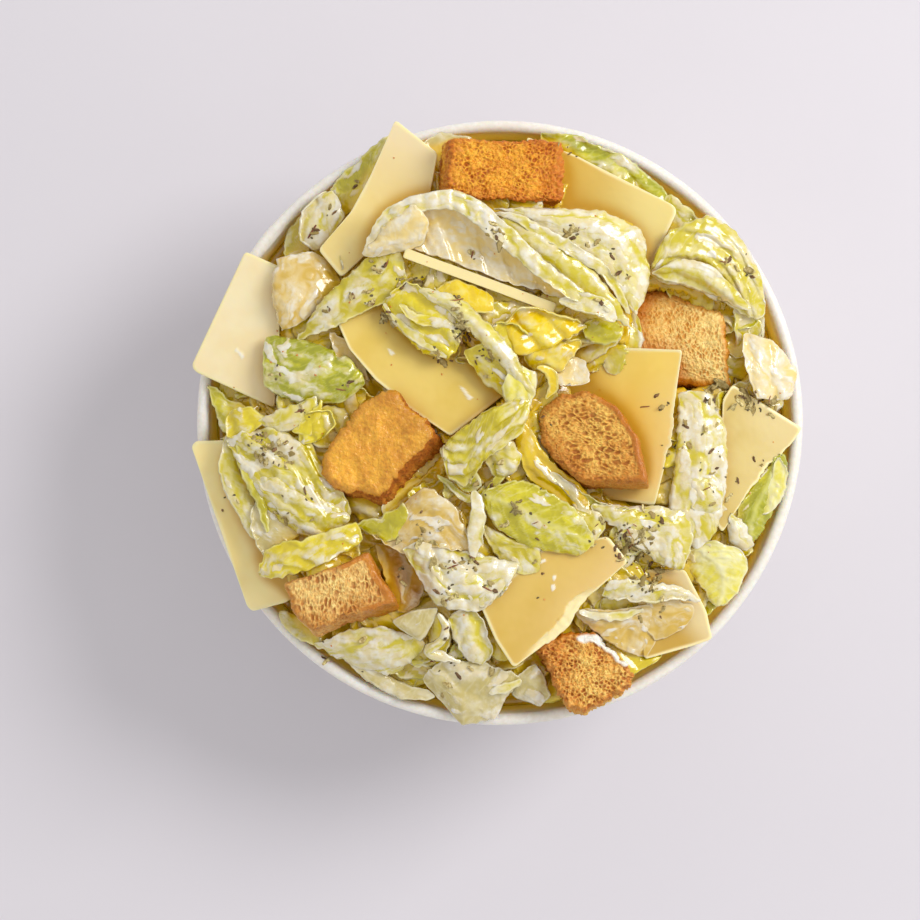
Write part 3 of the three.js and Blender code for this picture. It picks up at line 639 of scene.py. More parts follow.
# %% Lettuce finishes
CREAM = colour(247, 243, 232)
CREAM_SHADE = colour(237, 222, 184)
# Painted shade: a golden colour mixed in by depth below the salad's top, standing in for light bounced
# between leaves.
PAINTED_GOLDEN_SHADE = colour(234, 192, 28)
FILM_THINNED_BY_PAINTED_SHADE = 0.45
LEAF_TONE = {"Saturation": 1.12, "Value": 0.91}


def lettuce_finish(name, light, deep, edge):
    """Two blade colours by groove and blotch, the groove colour partly painted crease shade; a
    lighter net of veins, and a painted highlight along the edges; then the dressing film,
    thinned where the golden painted shade lies, and that painted shade mixed in over all. A
    little light soaks in, and a wet coat gives small highlights."""
    material, tree, shader, place = new_finish(
        "lettuce_" + name, 0.2, Coat_Weight=0.9, Coat_Roughness=0.04, Subsurface_Weight=0.12,
        Subsurface_Radius=(1.0, 0.8, 0.2), Subsurface_Scale=0.0012)
    blotch = blotches(tree, place, 190.0, light, deep)
    # The groove mask deepens the colour in creases: partly the leaf's own colour, partly painted shade.
    blade = blend_colours(tree, mask_of(tree, "groove"), blotch["Colour"], deep)
    veined = blend_colours(tree, mask_of(tree, "vein"), blade, edge)
    cream = blotches(tree, place, 420.0, CREAM, CREAM_SHADE)
    # The film is thinned where the painted golden shade lies, so that painted shade stays saturated.
    film_lost_to_shade = maths(tree, "MULTIPLY", mask_of(tree, "hollow"), FILM_THINNED_BY_PAINTED_SHADE)
    thinner = maths(tree, "SUBTRACT", mask_of(tree, "veil"), film_lost_to_shade)
    dressed = use_group(tree, FILM, Place=place, Size=620.0, Ground=veined, Film=cream["Colour"],
                        Cover=thinner)
    # Painted highlight: edges mixed toward the lighter edge colour, over the film.
    edged = blend_colours(tree, mask_of(tree, "rim"), dressed["Colour"], edge)
    toned = put(tree, "ShaderNodeHueSaturation", {**LEAF_TONE, "Color": edged}).outputs[0]
    # Painted shade: golden colour mixed in by the painted-shade mask.
    glow = blend_colours(tree, mask_of(tree, "hollow"), toned, PAINTED_GOLDEN_SHADE)
    tree.links.new(glow, shader.inputs["Base Color"])
    bump(tree, shader, dressed["Height"], 0.5, 0.0005)
    return material


# Each finish: light and deep blade colours, and a lighter colour for the veins and for the painted highlight
# along the edges.
LETTUCE_COLOURS = {
    "fresh": [(230, 218, 66), (192, 180, 0), (250, 244, 184)],
    "green": [(212, 206, 78), (160, 160, 0), (238, 236, 166)],
    "iceberg": [(254, 248, 188), (240, 228, 110), (255, 251, 222)],
    "pale": [(236, 222, 112), (200, 182, 0), (252, 244, 196)],
    "milky": [(242, 229, 164), (217, 202, 84), (253, 246, 218)],
    "creamy": [(236, 210, 146), (222, 188, 104), (249, 234, 198)],
    "ivory": [(253, 238, 196), (248, 222, 154), (254, 246, 222)],
    "golden": [(252, 229, 112), (239, 204, 44), (254, 245, 182)],
    "yellow": [(243, 227, 92), (221, 198, 18), (254, 244, 166)],
    "clear": [(226, 214, 172), (208, 192, 128), (246, 240, 210)],
    # Painted shade: this brown is for a leaf that lies in shadow, and the saturated gold below it is for the
    # core and a strip down in the gaps.
    "dusky": [(182, 146, 98), (146, 104, 52), (210, 180, 134)],
    "olive": [(246, 214, 76), (222, 184, 20), (246, 224, 124)],
}
LETTUCE = {name: lettuce_finish(name, *shades(three)) for name, three in LETTUCE_COLOURS.items()}
print("lettuce finishes:", len(LETTUCE))

# %% [markdown]
# ## How a leaf is made
# A leaf could be a cloth simulation, but then no leaf would lie where it should. Here a
# leaf is drawn by its outline. The outline is a closed curve, split at the leaf's root and
# tip into two rails. Across the rails run the rows of a grid, so the grid knows which way
# the leaf grows. On it lie, in order, the hump of the whole leaf, folds, rolled edges,
# veins, crinkles and the dressing. The lower face follows the upper one at the leaf's
# thickness, and both close into one thin skin.

# %% Leaf surface
LEAF_DEFAULTS = {
    "rise": 0.0, "folds": (), "roll": (0, 0), "roll_other": (0, 0), "ruffle": 0.5, "ruffle_size": 5.5,
    "blister": 0.25, "blister_size": 4.0, "crease": 0.34, "crease_size": 5.2, "veins": 0.0, "slant": 0.9,
    "cover": 0.5, "heavy": 0.2, "thickness": 0.4, "torn": 0.6, "spacing": 0.42,
}
ROW_LIMITS = (14, 120)
COLUMN_LIMITS = (10, 90)


def rolled_edge(reach, width, ends, radius, turn):
    """Carries a share of the way to the edge round a roll: flat up to one radius short of
    the edge, then round a circle for the angle turn, up if it is positive. Returns how far
    out and how far up that leads."""
    round_by = np.minimum(radius, 0.45 * width) * ends + 1e-6
    flat = width - round_by
    way = reach * (flat + round_by * abs(turn))
    angle = np.maximum(way - flat, 0) / round_by
    out = np.minimum(way, flat) + round_by * np.sin(angle)
    return out, math.copysign(1, turn) * round_by * (1 - np.cos(angle))


def folded(across, along, points, folds, seed):
    """Adds up folds and how far they lean over. Each is a wave across a slanted line, bent
    by noise. A positive height gives round backs with sharp grooves, a negative one sharp
    backs with round grooves. The lean moves the backs sideways, as folds topple."""
    total = 0 * across
    lean = np.zeros((*across.shape, 2))
    for number, (size, height, slant) in enumerate(folds):
        line = across * math.cos(slant) + along * math.sin(slant)
        phase = line / size + 0.32 * noise(points, 3.2 * size, seed + number)
        wave = np.sqrt(np.sin(math.pi * phase) ** 2 + 0.02)
        back = height * (0.65 + 0.5 * noise(points, 4 * size, seed + number + 30)) * (wave - 0.62)
        total += back
        lean += 0.55 * back[..., None] * np.array([math.cos(slant), math.sin(slant)])
    return total, lean if seed % 2 else -lean


def side_veins(across, along, size, slant, points, seed):
    """A rib along the middle and side veins that leave it at a slant: thin lines where the
    distance along, less slant times the distance across, is a whole number of sizes."""
    rib = np.exp(-((across / 0.8) ** 2))
    phase = (along - slant * np.abs(across)) / size + 0.35 * noise(points, 6.0, seed)
    side = np.exp(-(((phase - np.round(phase)) * size / 0.3) ** 2))
    return np.maximum(rib, side * 0.85)


def ragged(points, seed):
    """How far a torn edge wanders: wide bays, sharp nicks and fine teeth."""
    bays = layered(points, 6, seed, 2)
    nicks = 0.5 - 1.6 * np.abs(noise(points, 3.0, seed + 2))
    return bays + nicks + 0.4 * noise(points, 1.1, seed + 3)


def leaf_sheet(one, other, look, seed):
    """The grid of a leaf between two rails, with its masks. Row v, column s: s runs from -1
    on the second rail to 1 on the first."""
    length = max(length_of(one), length_of(other))
    shares = np.linspace(0, 1, 9)[1:-1]
    widest = np.linalg.norm(walk(one, shares) - walk(other, shares), axis=1).max()
    rows = int(np.clip(length / look["spacing"], *ROW_LIMITS))
    columns = int(np.clip(1.25 * widest / look["spacing"], *COLUMN_LIMITS))
    v = np.linspace(0, 1, rows + 2)[1:-1]
    v = 0.7 * v + 0.3 * (0.5 - 0.5 * np.cos(math.pi * v))
    s = np.linspace(-1, 1, columns)[None, :]
    left, right = walk(one, v), walk(other, v)
    outward = unit((left - right) * [1, 1, 0])
    left = left + outward * (look["torn"] * ragged(left, seed))[:, None]
    right = right - outward * (look["torn"] * ragged(right, seed + 1))[:, None]
    middle, half = (left + right) / 2, (left - right) / 2
    width = np.linalg.norm(half, axis=1)[:, None]
    ends = (ease(0, 0.14, v) * ease(0, 0.14, 1 - v))[:, None]
    out_one, up_one = rolled_edge(np.abs(s), width, ends, *look["roll"])
    out_other, up_other = rolled_edge(np.abs(s), width, ends, *look["roll_other"])
    across = np.where(s > 0, out_one, -out_other)
    lift = np.where(s > 0, up_one, up_other)
    sheet = middle[:, None] + unit(half)[:, None] * across[..., None]
    along = (v * length)[:, None] + 0 * across
    flat_points = sheet * [1, 1, 0.3]
    hump = look["rise"] * (1 - s**2) * np.sin(math.pi * v)[:, None] ** 0.7
    folds, lean = folded(across, along, flat_points, look["folds"], seed)
    forward = unit(np.gradient(middle, axis=0))
    sheet += unit(half)[:, None] * lean[..., :1] + forward[:, None] * lean[..., 1:]
    edge = np.maximum(np.abs(s) ** 4, (np.abs(2 * v - 1) ** 8)[:, None])
    wave = layered(flat_points * [1, 1, 0], look["ruffle_size"], seed + 5, 2)
    sheet[..., 2] += lift + hump + folds + look["ruffle"] * edge * wave * 2.2
    normals = sheet_normals(sheet)
    normals *= np.sign(normals[..., 2].sum())
    grown = np.stack([across * 0.6, along - look["slant"] * np.abs(across), 0 * across + seed], -1)
    grown = grown + 0.8 * noise(flat_points, 3, seed + 21)[..., None]
    near, second = seed_distances(grown, look["blister_size"], seed)
    border = second - near
    dome = ease(0, 0.75, border)
    vein = 0.6 * np.exp(-((border / 0.08) ** 2))
    if look["veins"]:
        vein = np.maximum(vein, side_veins(across, along, look["veins"], look["slant"], flat_points, seed))
    ridge = folds / max([0.4, *[abs(f[1]) for f in look["folds"]]])
    long_way = np.stack([across, 0.32 * along, 0 * across + seed], -1)
    long_way = long_way + 0.9 * noise(flat_points, 4, seed + 23)[..., None]
    crossing = noise(long_way, look["crease_size"], seed + 25)
    finer = noise(long_way, look["crease_size"] / 2.2, seed + 27)
    crease = np.sqrt(crossing**2 + 0.0025) - 0.3 + 0.22 * (np.abs(finer) - 0.3)
    streaky = long_way * [1, 1.2, 1]
    level = layered(streaky, 2.7, seed + 13, 3)
    raised = 0.5 * ridge + 0.15 * (dome - 0.5) + 0.7 * crease
    haze = np.clip(0.85 * look["cover"] + 0.7 * level + 0.8 * raised, 0, 0.9)
    clot = ease(0.1, 0.26, noise(streaky, 3.4, seed + 31) + 0.5 * noise(streaky, 1.6, seed + 33)
                + look["heavy"] - 0.5)
    relief = 0.55 * look["blister"] * dome + look["crease"] * crease
    relief += 0.05 * noise(flat_points, 1.4, seed + 9)
    relief += 0.16 * clot + 0.05 * clot * noise(flat_points, 1.0, seed + 17)
    relief += (0.25 if look["veins"] else 0.08) * vein * (1 - 0.8 * clot)
    sheet = settle(sheet + normals * relief[..., None])
    to_edge = np.minimum((1 - np.abs(s)) * width, np.minimum(v, 1 - v)[:, None] * length)
    # Painted highlight: a thin band along the leaf's edge, lighter as if the edge caught the light.
    rim = ease(0.75, 0.1, to_edge)
    cut = np.exp(-((crossing / 0.07) ** 2)) + 0.5 * np.exp(-((finer / 0.08) ** 2))
    # Painted shade, partly: grooves and creases take the deeper blade colour and lose film, and ridges gain
    # film, standing in for shade in the creases and highlight on the ridges.
    groove = np.clip(ease(0.0, -0.45, raised) + 0.8 * cut, 0, 1)
    haze = haze * (1 - 0.75 * np.clip(cut, 0, 1))
    masks = {"veil": np.maximum(haze, clot), "vein": vein * 0.45, "rim": rim * 0.6, "groove": groove}
    return sheet, v, s, masks


def leaf_skin(one, other, look, seed):
    """Closes a sheet into a thin skin: along each row out over the upper face and back
    below it. The thickness follows a flattened arch across and fades at root and tip."""
    look = {**LEAF_DEFAULTS, **look}
    sheet, v, s, masks = leaf_sheet(one, other, look, seed)
    normals = sheet_normals(sheet)
    normals *= np.sign(normals[..., 2].sum())
    body = np.sqrt(np.maximum(1 - s**6, 0))
    body = body * np.sqrt(np.maximum(1 - np.abs(2 * v - 1) ** 12, 0))[:, None]
    lower = sheet - normals * (look["thickness"] * body)[..., None]
    loops = np.concatenate([sheet, lower[:, -2:0:-1]], axis=1)
    root, tip = (loops[0].mean(0) + one[0]) / 2, (loops[-1].mean(0) + one[-1]) / 2
    points = np.vstack([root, loops.reshape(-1, 3), tip])
    full = {key: with_ends(np.concatenate([mask, mask[:, -2:0:-1]], axis=1)) for key, mask in masks.items()}
    return points, *facing_out(points, *skin_faces(*loops.shape[:2])), full


LEAVES = []


def build_leaf(name, one, other, finish, look, seed):
    points, quads, caps, masks = leaf_skin(one, other, look, seed)
    LEAVES.append(add_mesh(name, points, quads, caps, LETTUCE[finish], masks))


def leaf(name, corners, ends, finish, **look):
    """A leaf from the corners of its outline, split at the two corners that ends names. The
    outline is halfway between the straight sides and the curve through the corners."""
    corners = np.asarray(corners, float)
    share = np.tile(np.arange(CURVE_STEPS) / CURVE_STEPS, len(corners))[:, None]
    here = np.repeat(corners, CURVE_STEPS, axis=0)
    there = np.repeat(np.roll(corners, -1, axis=0), CURVE_STEPS, axis=0)
    straight = here + (there - here) * share
    ring = 0.5 * curve_through(corners, closed=True) + 0.5 * straight
    first, last = ends[0] * CURVE_STEPS, ends[1] * CURVE_STEPS
    one = ring[first:last + 1]
    other = np.vstack([ring[last:], ring[:first + 1]])[::-1]
    build_leaf(name, one, other, finish, look, 3 + sum(map(ord, name)) % 89)


def strip(name, points, half_width, finish, **look):
    """A rib or narrow strip: rails at both sides of a curve, drawn together at its ends."""
    spine = curve_through(points)
    shares = np.linspace(0, 1, 60)
    spine = walk(spine, shares)
    slope = unit(np.gradient(spine, axis=0) * [1, 1, 0])
    side = np.stack([slope[:, 1], -slope[:, 0], 0 * shares], -1)
    side *= (half_width * np.sin(math.pi * shares) ** 0.5)[:, None]
    look = {"rise": 0.12 * half_width, "torn": 0.45, "blister": 0.15, "ruffle": 0.7, "crease": 0.45, **look}
    build_leaf(name, spine + side, spine - side, finish, look, 5 + sum(map(ord, name)) % 83)


# %% [markdown]
# ## Leaves at the back
# The leaves are grouped by where they lie. Against the back wall they are half hidden by
# the slices, and the two large folded leaves lie over them, right behind the middle. Their
# pale ridges catch the light, so their edges are rolled, not cut square.

# %% Back left
leaf("back_glossy_leaf", [[-27, 71, 65], [-35, 65, 62], [-42, 57.5, 61], [-38, 51, 62.5], [-30, 59, 65.5]],
     (0, 2), "fresh", cover=0.42, blister=0.6, blister_size=3.2, folds=[(5, 0.5, 0.3)])
leaf("back_curl", [[-42, 57.5, 64], [-48, 53, 62], [-49.5, 45, 62], [-45, 42.5, 64], [-38.5, 50.5, 66]],
     (0, 3), "milky", rise=1, cover=0.85, folds=[(6, 1.2, 0.5)], roll=(1.2, 2.4), heavy=0.5)
leaf("back_side_leaf", [[-48, 52, 59], [-53, 47, 58], [-53, 41, 60], [-47.5, 42, 61]],
     (0, 2), "pale", cover=0.6)
leaf("round_cream_leaf", [[-55, 40, 68], [-46, 42, 67], [-39, 35, 67.5], [-45, 27, 70], [-53.5, 22.5, 69],
     [-56, 31, 70]],
     (1, 4), "creamy", rise=2, cover=0.62, blister=0.3, blister_size=7, roll_other=(1.2, -1.6), heavy=0.25)
leaf("diagonal_leaf", [[-50, 20.5, 70], [-38.5, 35, 75], [-25.5, 44, 78], [-23, 33, 77], [-38, 24.5, 74.5]],
     (0, 2), "pale", rise=0.6, cover=0.62, folds=[(9, 0.7, 0.15)], roll=(1.0, -1.8), blister_size=6)

# %% The large folded leaf
leaf("folded_leaf_hollow", [[-30, 44, 79], [-24.5, 50, 81], [-11, 52.5, 82], [7.5, 39.5, 82],
     [27, 25.5, 81.5], [16, 29.5, 80], [-4, 36, 79], [-22, 42.5, 78.5]],
     (0, 4), "ivory", rise=-1.6, ruffle=0.4, cover=0.84, folds=[(8, -1.1, 1.1), (3.4, -0.4, 1.2)],
     blister=0.1, blister_size=7, crease=0.25)
leaf("folded_leaf_lobe", [[-33.5, 40.5, 78], [-28.5, 47.5, 82], [-21, 52.5, 84.2], [-17.5, 48, 83.5],
     [-19.5, 42.5, 80]],
     (0, 2), "ivory", rise=1.2, cover=0.72, folds=[(6, 0.8, 0.4)], blister=0.2, crease=0.25, roll=(1.1, -2))
strip("folded_leaf_ridge", [[-33, 42, 78.5], [-27, 49.5, 82.5], [-18, 53, 84.3], [-10, 53, 84.6],
      [-1, 46.5, 84.6], [8, 38.5, 84.2], [17, 31.5, 83.6], [26.5, 26.5, 82.8]],
      2.5, "milky", cover=0.8, folds=[(4, 0.6, 1.4)], blister=0.45, blister_size=3, ruffle=0.8)
strip("folded_leaf_end", [[14, 29.5, 82.6], [20, 29, 83.4], [25, 27.3, 83], [27.8, 24.5, 82]],
      2.2, "milky", cover=0.8, roll=(0.8, 2.2))
strip("white_seam_strip", [[-2.5, 51, 81.5], [4, 49, 82.3], [11, 45.3, 82.4], [18, 41, 81.8],
      [24.8, 36.6, 80.8], [31.5, 26, 78]],
      1.5, "milky", cover=0.85)

# %% The round leaves behind it
leaf("round_milky_leaf", [[-2, 51.5, 80], [11, 52, 80], [25, 51, 79], [34, 46, 77], [36.3, 36, 76],
     [33, 26, 77], [22, 38, 79.5], [10, 46, 80.5]],
     (0, 5), "milky", rise=1.8, cover=0.72, blister=0.15, blister_size=6, crease=0.3, roll=(1.3, -2.0),
     folds=[(9, 0.9, 0.1)])
leaf("round_green_lobe", [[0, 49.7, 81.2], [8.7, 46.5, 81.8], [18.6, 39.8, 81], [27.7, 30.4, 79.5],
     [31.7, 22.5, 77.5], [25, 26.5, 79.5], [15, 35.5, 81.5], [5, 43, 82]],
     (0, 4), "milky", rise=1, cover=0.42, blister=0.2, crease=0.35, roll=(0.9, -2))
leaf("right_fan_leaf", [[36, 36, 72], [41, 46.5, 73], [50, 50.5, 72], [58, 46.5, 69.5], [64, 36, 67.5],
     [65, 26.5, 66], [60, 26, 67], [55.5, 29.4, 67.6], [46, 33.4, 69.6]],
     (0, 5), "milky", rise=2.4, cover=0.42, folds=[(6.5, 1.9, 0.1), (3.1, 0.7, 0.25)], ruffle=1.2,
     blister=0.3, roll=(1, -1.8), heavy=0.3)
leaf("right_fan_front", [[36.8, 36, 73.6], [43, 39.8, 75], [50.5, 38.4, 74.5], [57, 32.6, 72],
     [61, 27.6, 69.8], [55.5, 29.6, 70], [46, 33.4, 72]],
     (0, 4), "milky", rise=1.5, cover=0.55, folds=[(4.5, 1.2, 0.15)], ruffle=1, roll=(0.8, -1.6))
leaf("right_white_leaf", [[60, 22, 67], [67, 20, 66], [73, 13, 64], [71.5, 6.5, 65], [63, 6, 69],
     [60, 13, 70]],
     (0, 3), "ivory", rise=1, cover=0.72, folds=[(5.5, 0.9, 0.4)], blister=0.4, blister_size=3.4,
     roll=(1, -2))
leaf("back_green_leaf", [[10, 71.5, 62], [20, 70.5, 62], [31, 65.5, 62], [39.5, 58.5, 63], [43.5, 51, 64.5],
     [36, 54, 64], [26, 61, 63], [12, 66, 62]],
     (0, 4), "green", cover=0.36, blister=0.6, blister_size=3.4, folds=[(4.5, 0.9, 0.2)], ruffle=0.8,
     heavy=0.35)
leaf("back_clear_leaf", [[-19, 68.5, 65], [-14.5, 71.5, 64], [-7, 70, 63.5], [-4, 65, 63.5],
     [-14, 61.5, 64.5]],
     (0, 3), "clear", rise=0.5, blister=0.2)
leaf("back_small_curl", [[-4, 66.5, 63], [2, 67, 63], [8, 65.5, 63], [4, 62, 63.4], [-3, 62, 63.4]],
     (0, 2), "milky", cover=0.8)

# %% [markdown]
# ## Leaves in the middle
# Over the large slice lies the yellow heart of a lettuce: small, ruffled and glossy, with a
# white-green rib across it. In front follow a folded pale leaf with ribs side by side and
# the bright veined one.

# %% The yellow heart
leaf("heart_left_lobe", [[-29, 28.5, 76.5], [-23, 33.5, 78], [-13, 29.5, 80.5], [-9.5, 20, 80],
     [-13, 15, 78], [-20, 18, 77]],
     (0, 3), "yellow", rise=1.4, cover=0.4, ruffle=1.1, folds=[(5, 1.3, 0.1)], roll=(0.8, 2.2),
     roll_other=(0.8, -2), blister=0.1, crease=0.2)
strip("heart_left_edge", [[-28.5, 29, 77.6], [-25, 24.5, 78.4], [-19, 19.5, 78.8], [-13, 15.5, 78.6]],
      1.1, "milky", cover=0.6)
strip("heart_inner_edge", [[-24.5, 28.8, 79.4], [-21, 25.5, 80.2], [-15, 24, 80.6], [-9.5, 21.5, 80.6]],
      1.3, "yellow")
leaf("heart_flap", [[-16, 32, 79.2], [-11, 34.6, 79], [-2, 30.5, 80], [-2, 26.5, 81.4], [-9, 27, 82]],
     (0, 2), "golden", cover=0.05, blister=0.05, crease=0.12, rise=0.6)
strip("heart_rib", [[-19.8, 32.2, 79.8], [-11, 28, 81.8], [-5, 22.5, 82.7], [0, 17.3, 82.8], [4, 11.9, 82],
      [8, 6, 80.6]],
      2.4, "pale", cover=0.6, rise=1.1, blister=0.25, veins=3)
leaf("heart_ruffle", [[0, 22, 80], [5, 27.7, 79.4], [15, 25.7, 80], [20.8, 23, 80], [8, 16.5, 82],
     [3, 16, 82]],
     (0, 3), "golden", rise=1.2, cover=0.22, ruffle=2.0, folds=[(6.5, 1.5, 0.9)], roll=(0.8, 2.4),
     roll_other=(0.8, -2), blister=0.05, crease=0.12)
leaf("heart_middle_curl", [[-3, 23, 80.6], [3, 24, 80], [7, 20.5, 81.5], [3, 15.8, 82.2], [-1, 17, 82]],
     (0, 2), "yellow", rise=0.8, cover=0.35, roll=(0.8, 2.4), ruffle=1, blister=0.05, crease=0.12)
leaf("heart_yellow_curl", [[5.5, 16, 79], [11, 19, 80], [19.5, 19.5, 79], [15, 12.5, 78], [8, 13, 78]],
     (0, 2), "golden", rise=1.5, cover=0.25, ruffle=1.2, roll=(0.8, 2.2), folds=[(5, 0.9, 0.6)],
     blister=0.05, crease=0.12)
leaf("heart_clear_leaf", [[14, 17, 76], [20.5, 15, 75], [21.5, 9.8, 77], [16.5, 9, 78], [12, 10, 78]],
     (0, 3), "ivory", folds=[(5, 0.6, 0.3)], blister=0.05, crease=0.15)
strip("heart_side_strip", [[8.7, 13.4, 80.4], [11.6, 12.2, 79.8], [12.6, 8.6, 78.8], [10.8, 5.6, 78.4]],
      1.3, "golden", cover=0.4)
leaf("heart_front_lobe", [[-9, 17, 78.4], [-4, 9.5, 77.4], [1.5, 5.5, 78], [6.5, 8, 79.5], [1, 14, 81.6],
     [-4, 19, 81]],
     (0, 3), "yellow", rise=0.8, cover=0.42, blister=0.1, crease=0.2, ruffle=0.8, folds=[(5, 0.7, 0.2)])
leaf("heart_end_lobe", [[3, 14, 82], [8.5, 12.2, 81], [8.2, 6, 80.2], [5.5, 2.2, 80], [1.5, 4, 80.6],
     [0.5, 8.5, 81.6]],
     (0, 3), "iceberg", rise=1, cover=0.55, folds=[(3.2, 0.6, 0.1)])

# %% The folded block and the veined leaf
leaf("ribbed_block", [[-14, -5.8, 79], [-1, 4.3, 82.6], [7, 5.5, 83], [5, -2.4, 82.4], [-3.5, -9, 81],
     [-8.6, -15.6, 77.6], [-12.4, -14, 77.2]],
     (0, 2), "pale", rise=1.6, folds=[(3.1, 1.1, 0.0)], roll=(0.8, -1.6), heavy=0.35)
leaf("ribbed_block_face", [[-14.6, -6, 78], [-8, -9.5, 78.4], [-4.5, -15.5, 77], [-8.7, -17, 75.6],
     [-12.6, -12.5, 75.8]],
     (0, 3), "fresh", cover=0.6, folds=[(3.4, 0.9, 0.3)], blister=0.5, blister_size=2.8)
strip("ribbed_block_edge", [[-15.5, -12.5, 75.4], [-11, -16.5, 75], [-7.5, -18.7, 75], [0, -13, 76.6],
      [4, -6, 77.6]],
      1.0, "fresh", cover=0.4)
leaf("small_cap_leaf", [[-4.5, -6, 78], [1.5, -4, 79.4], [5, -8, 78], [3.5, -12, 77], [-1, -14, 76]],
     (0, 3), "milky", rise=1.5, cover=0.6, folds=[(4, 0.7, 0.5)])
leaf("veined_leaf", [[-4.5, -17, 77.4], [5, -14, 78.4], [18, -21, 79.2], [22.7, -29, 77], [19, -32.2, 75.6],
     [8, -30.5, 76.4], [-2, -25, 76.8]],
     (0, 3), "fresh", rise=1.6, ruffle=0.8, cover=0.3, veins=4.2, blister=0.3, blister_size=2.6, crease=0.2,
     folds=[(11, 0.9, 0.3)], heavy=0.15, roll_other=(0.7, -1.8))
leaf("under_veined_leaf", [[-5, -24.5, 75], [3, -28.5, 75.6], [9.2, -30, 75.8], [9.6, -36.2, 74.8],
     [5, -37, 74.6], [-0.5, -33, 74.6]],
     (0, 4), "pale", rise=0.8, cover=0.6, roll=(0.6, -2))
strip("white_rib", [[-6.5, -16.5, 78.2], [-5.5, -21, 78.8], [-6.2, -26.5, 78.6], [-6.6, -33, 77.4]],
      2.0, "milky", cover=0.9)
leaf("herb_leaf", [[22, -20, 75.2], [30, -20.6, 74.6], [38, -20.5, 74], [46, -22, 73.2], [47, -29, 72],
     [44.5, -36, 70.4], [38, -34, 72], [30, -27.5, 74]],
     (0, 5), "milky", rise=1.6, ruffle=1, cover=0.62, folds=[(7, 1.1, 0.4)], heavy=0.4)
leaf("herb_leaf_green_edge", [[16, -15.5, 75.6], [24, -19.5, 75], [33, -22, 74.4], [30, -24.5, 74],
     [22, -22, 74.4]],
     (0, 2), "fresh", roll=(0.7, 2))
leaf("herb_leaf_tip", [[17, -21, 76.6], [24, -22, 75.8], [25.5, -26, 74.8], [19.5, -31.4, 76],
     [16.5, -26, 77]],
     (0, 3), "pale", cover=0.55, rise=0.5)
leaf("right_white_mass", [[44, 7.5, 73], [52, 6.4, 72.6], [55.2, -4, 71.6], [54.6, -17, 71.4],
     [53, -26, 70.4], [48, -31, 70], [41.6, -21.5, 72.2], [43, -8, 73]],
     (0, 5), "milky", rise=1.8, cover=0.82, folds=[(8, 0.9, 0.2)], heavy=0.5, blister=0.4, blister_size=5,
     roll=(1, -1.8), roll_other=(1, -1.8))
leaf("right_mass_lobe", [[46.5, -13, 73.6], [52, -12.6, 73], [54.6, -17.5, 72.4], [52, -22.5, 72],
     [46.5, -21, 73]],
     (0, 3), "milky", rise=1.2, cover=0.8, heavy=0.4)

# %% [markdown]
# ## Leaves at the front and on the right
# Near the front rim the leaves are broad, flat and heavy with dressing, and one hangs over
# the edge. On the right a crisp iceberg leaf shows its net of veins, and a green one
# stands along the wall.

# %% Front right
leaf("iceberg_leaf", [[46.5, -31, 67.4], [52, -29, 67.6], [59.5, -31.5, 66.4], [61, -35.5, 65.6],
     [57, -43.5, 64.8], [53.4, -45.2, 64.5], [49, -40, 63.6], [46, -35, 64.6]],
     (0, 5), "iceberg", cover=0.16, veins=3.6, ruffle=0.9, blister=0.45, blister_size=3, rise=1.2)
leaf("right_green_leaf", [[62.5, -14, 64], [66.5, -8, 63], [69.8, -7.4, 62.6], [70.8, -13, 62],
     [66.5, -23.5, 61.5], [61.5, -30.5, 62], [57.5, -25, 64.5]],
     (1, 5), "green", rise=0.8, cover=0.2, veins=5, blister=0.35, folds=[(7, 0.8, 0.2)], roll=(1.2, -2))
strip("right_crinkled_ridge", [[68.6, -8.6, 64.2], [68.8, -14, 64], [66.4, -20, 63.4], [64.6, -22.6, 62.8]],
      2.1, "iceberg", cover=0.4, blister=0.6, blister_size=2.6)
leaf("right_white_lump", [[56.5, -22, 66.8], [59.5, -24, 66.6], [62.4, -30, 64.6], [60.5, -31.6, 64.6],
     [56, -29, 66.4]],
     (0, 3), "milky", rise=1.5, cover=0.9, heavy=0.4)
leaf("front_white_ridge", [[24.5, -42, 71.4], [28, -38, 73.4], [36, -38.6, 73.4], [46, -41, 71.2],
     [49, -44, 69.2], [42, -43, 71.2], [33, -43.6, 71.8]],
     (0, 4), "milky", rise=1.2, cover=0.85, roll_other=(1.1, 2.4), heavy=0.35)
leaf("front_beige_sheet", [[18, -46, 69.4], [28, -46, 70.4], [38, -44.6, 69.6], [39.5, -50, 67.4],
     [36, -57.5, 65.8], [30, -56, 67], [24, -52, 68.4]],
     (0, 4), "creamy", cover=0.4, rise=0.8, folds=[(8, 1.0, 0.5)], blister=0.2, blister_size=7)
strip("front_beige_lip", [[19, -46.2, 71], [24, -47.4, 71.2], [30, -47.2, 71], [35, -45.4, 70.8]],
      1.1, "milky", cover=0.7)
leaf("front_right_sheet", [[34, -43, 70], [43, -42.6, 70], [47.5, -46, 68.2], [45.5, -50, 67.4],
     [38, -53.5, 67.2], [34.5, -49, 68.6]],
     (0, 3), "creamy", cover=0.45, rise=0.6, blister=0.2)

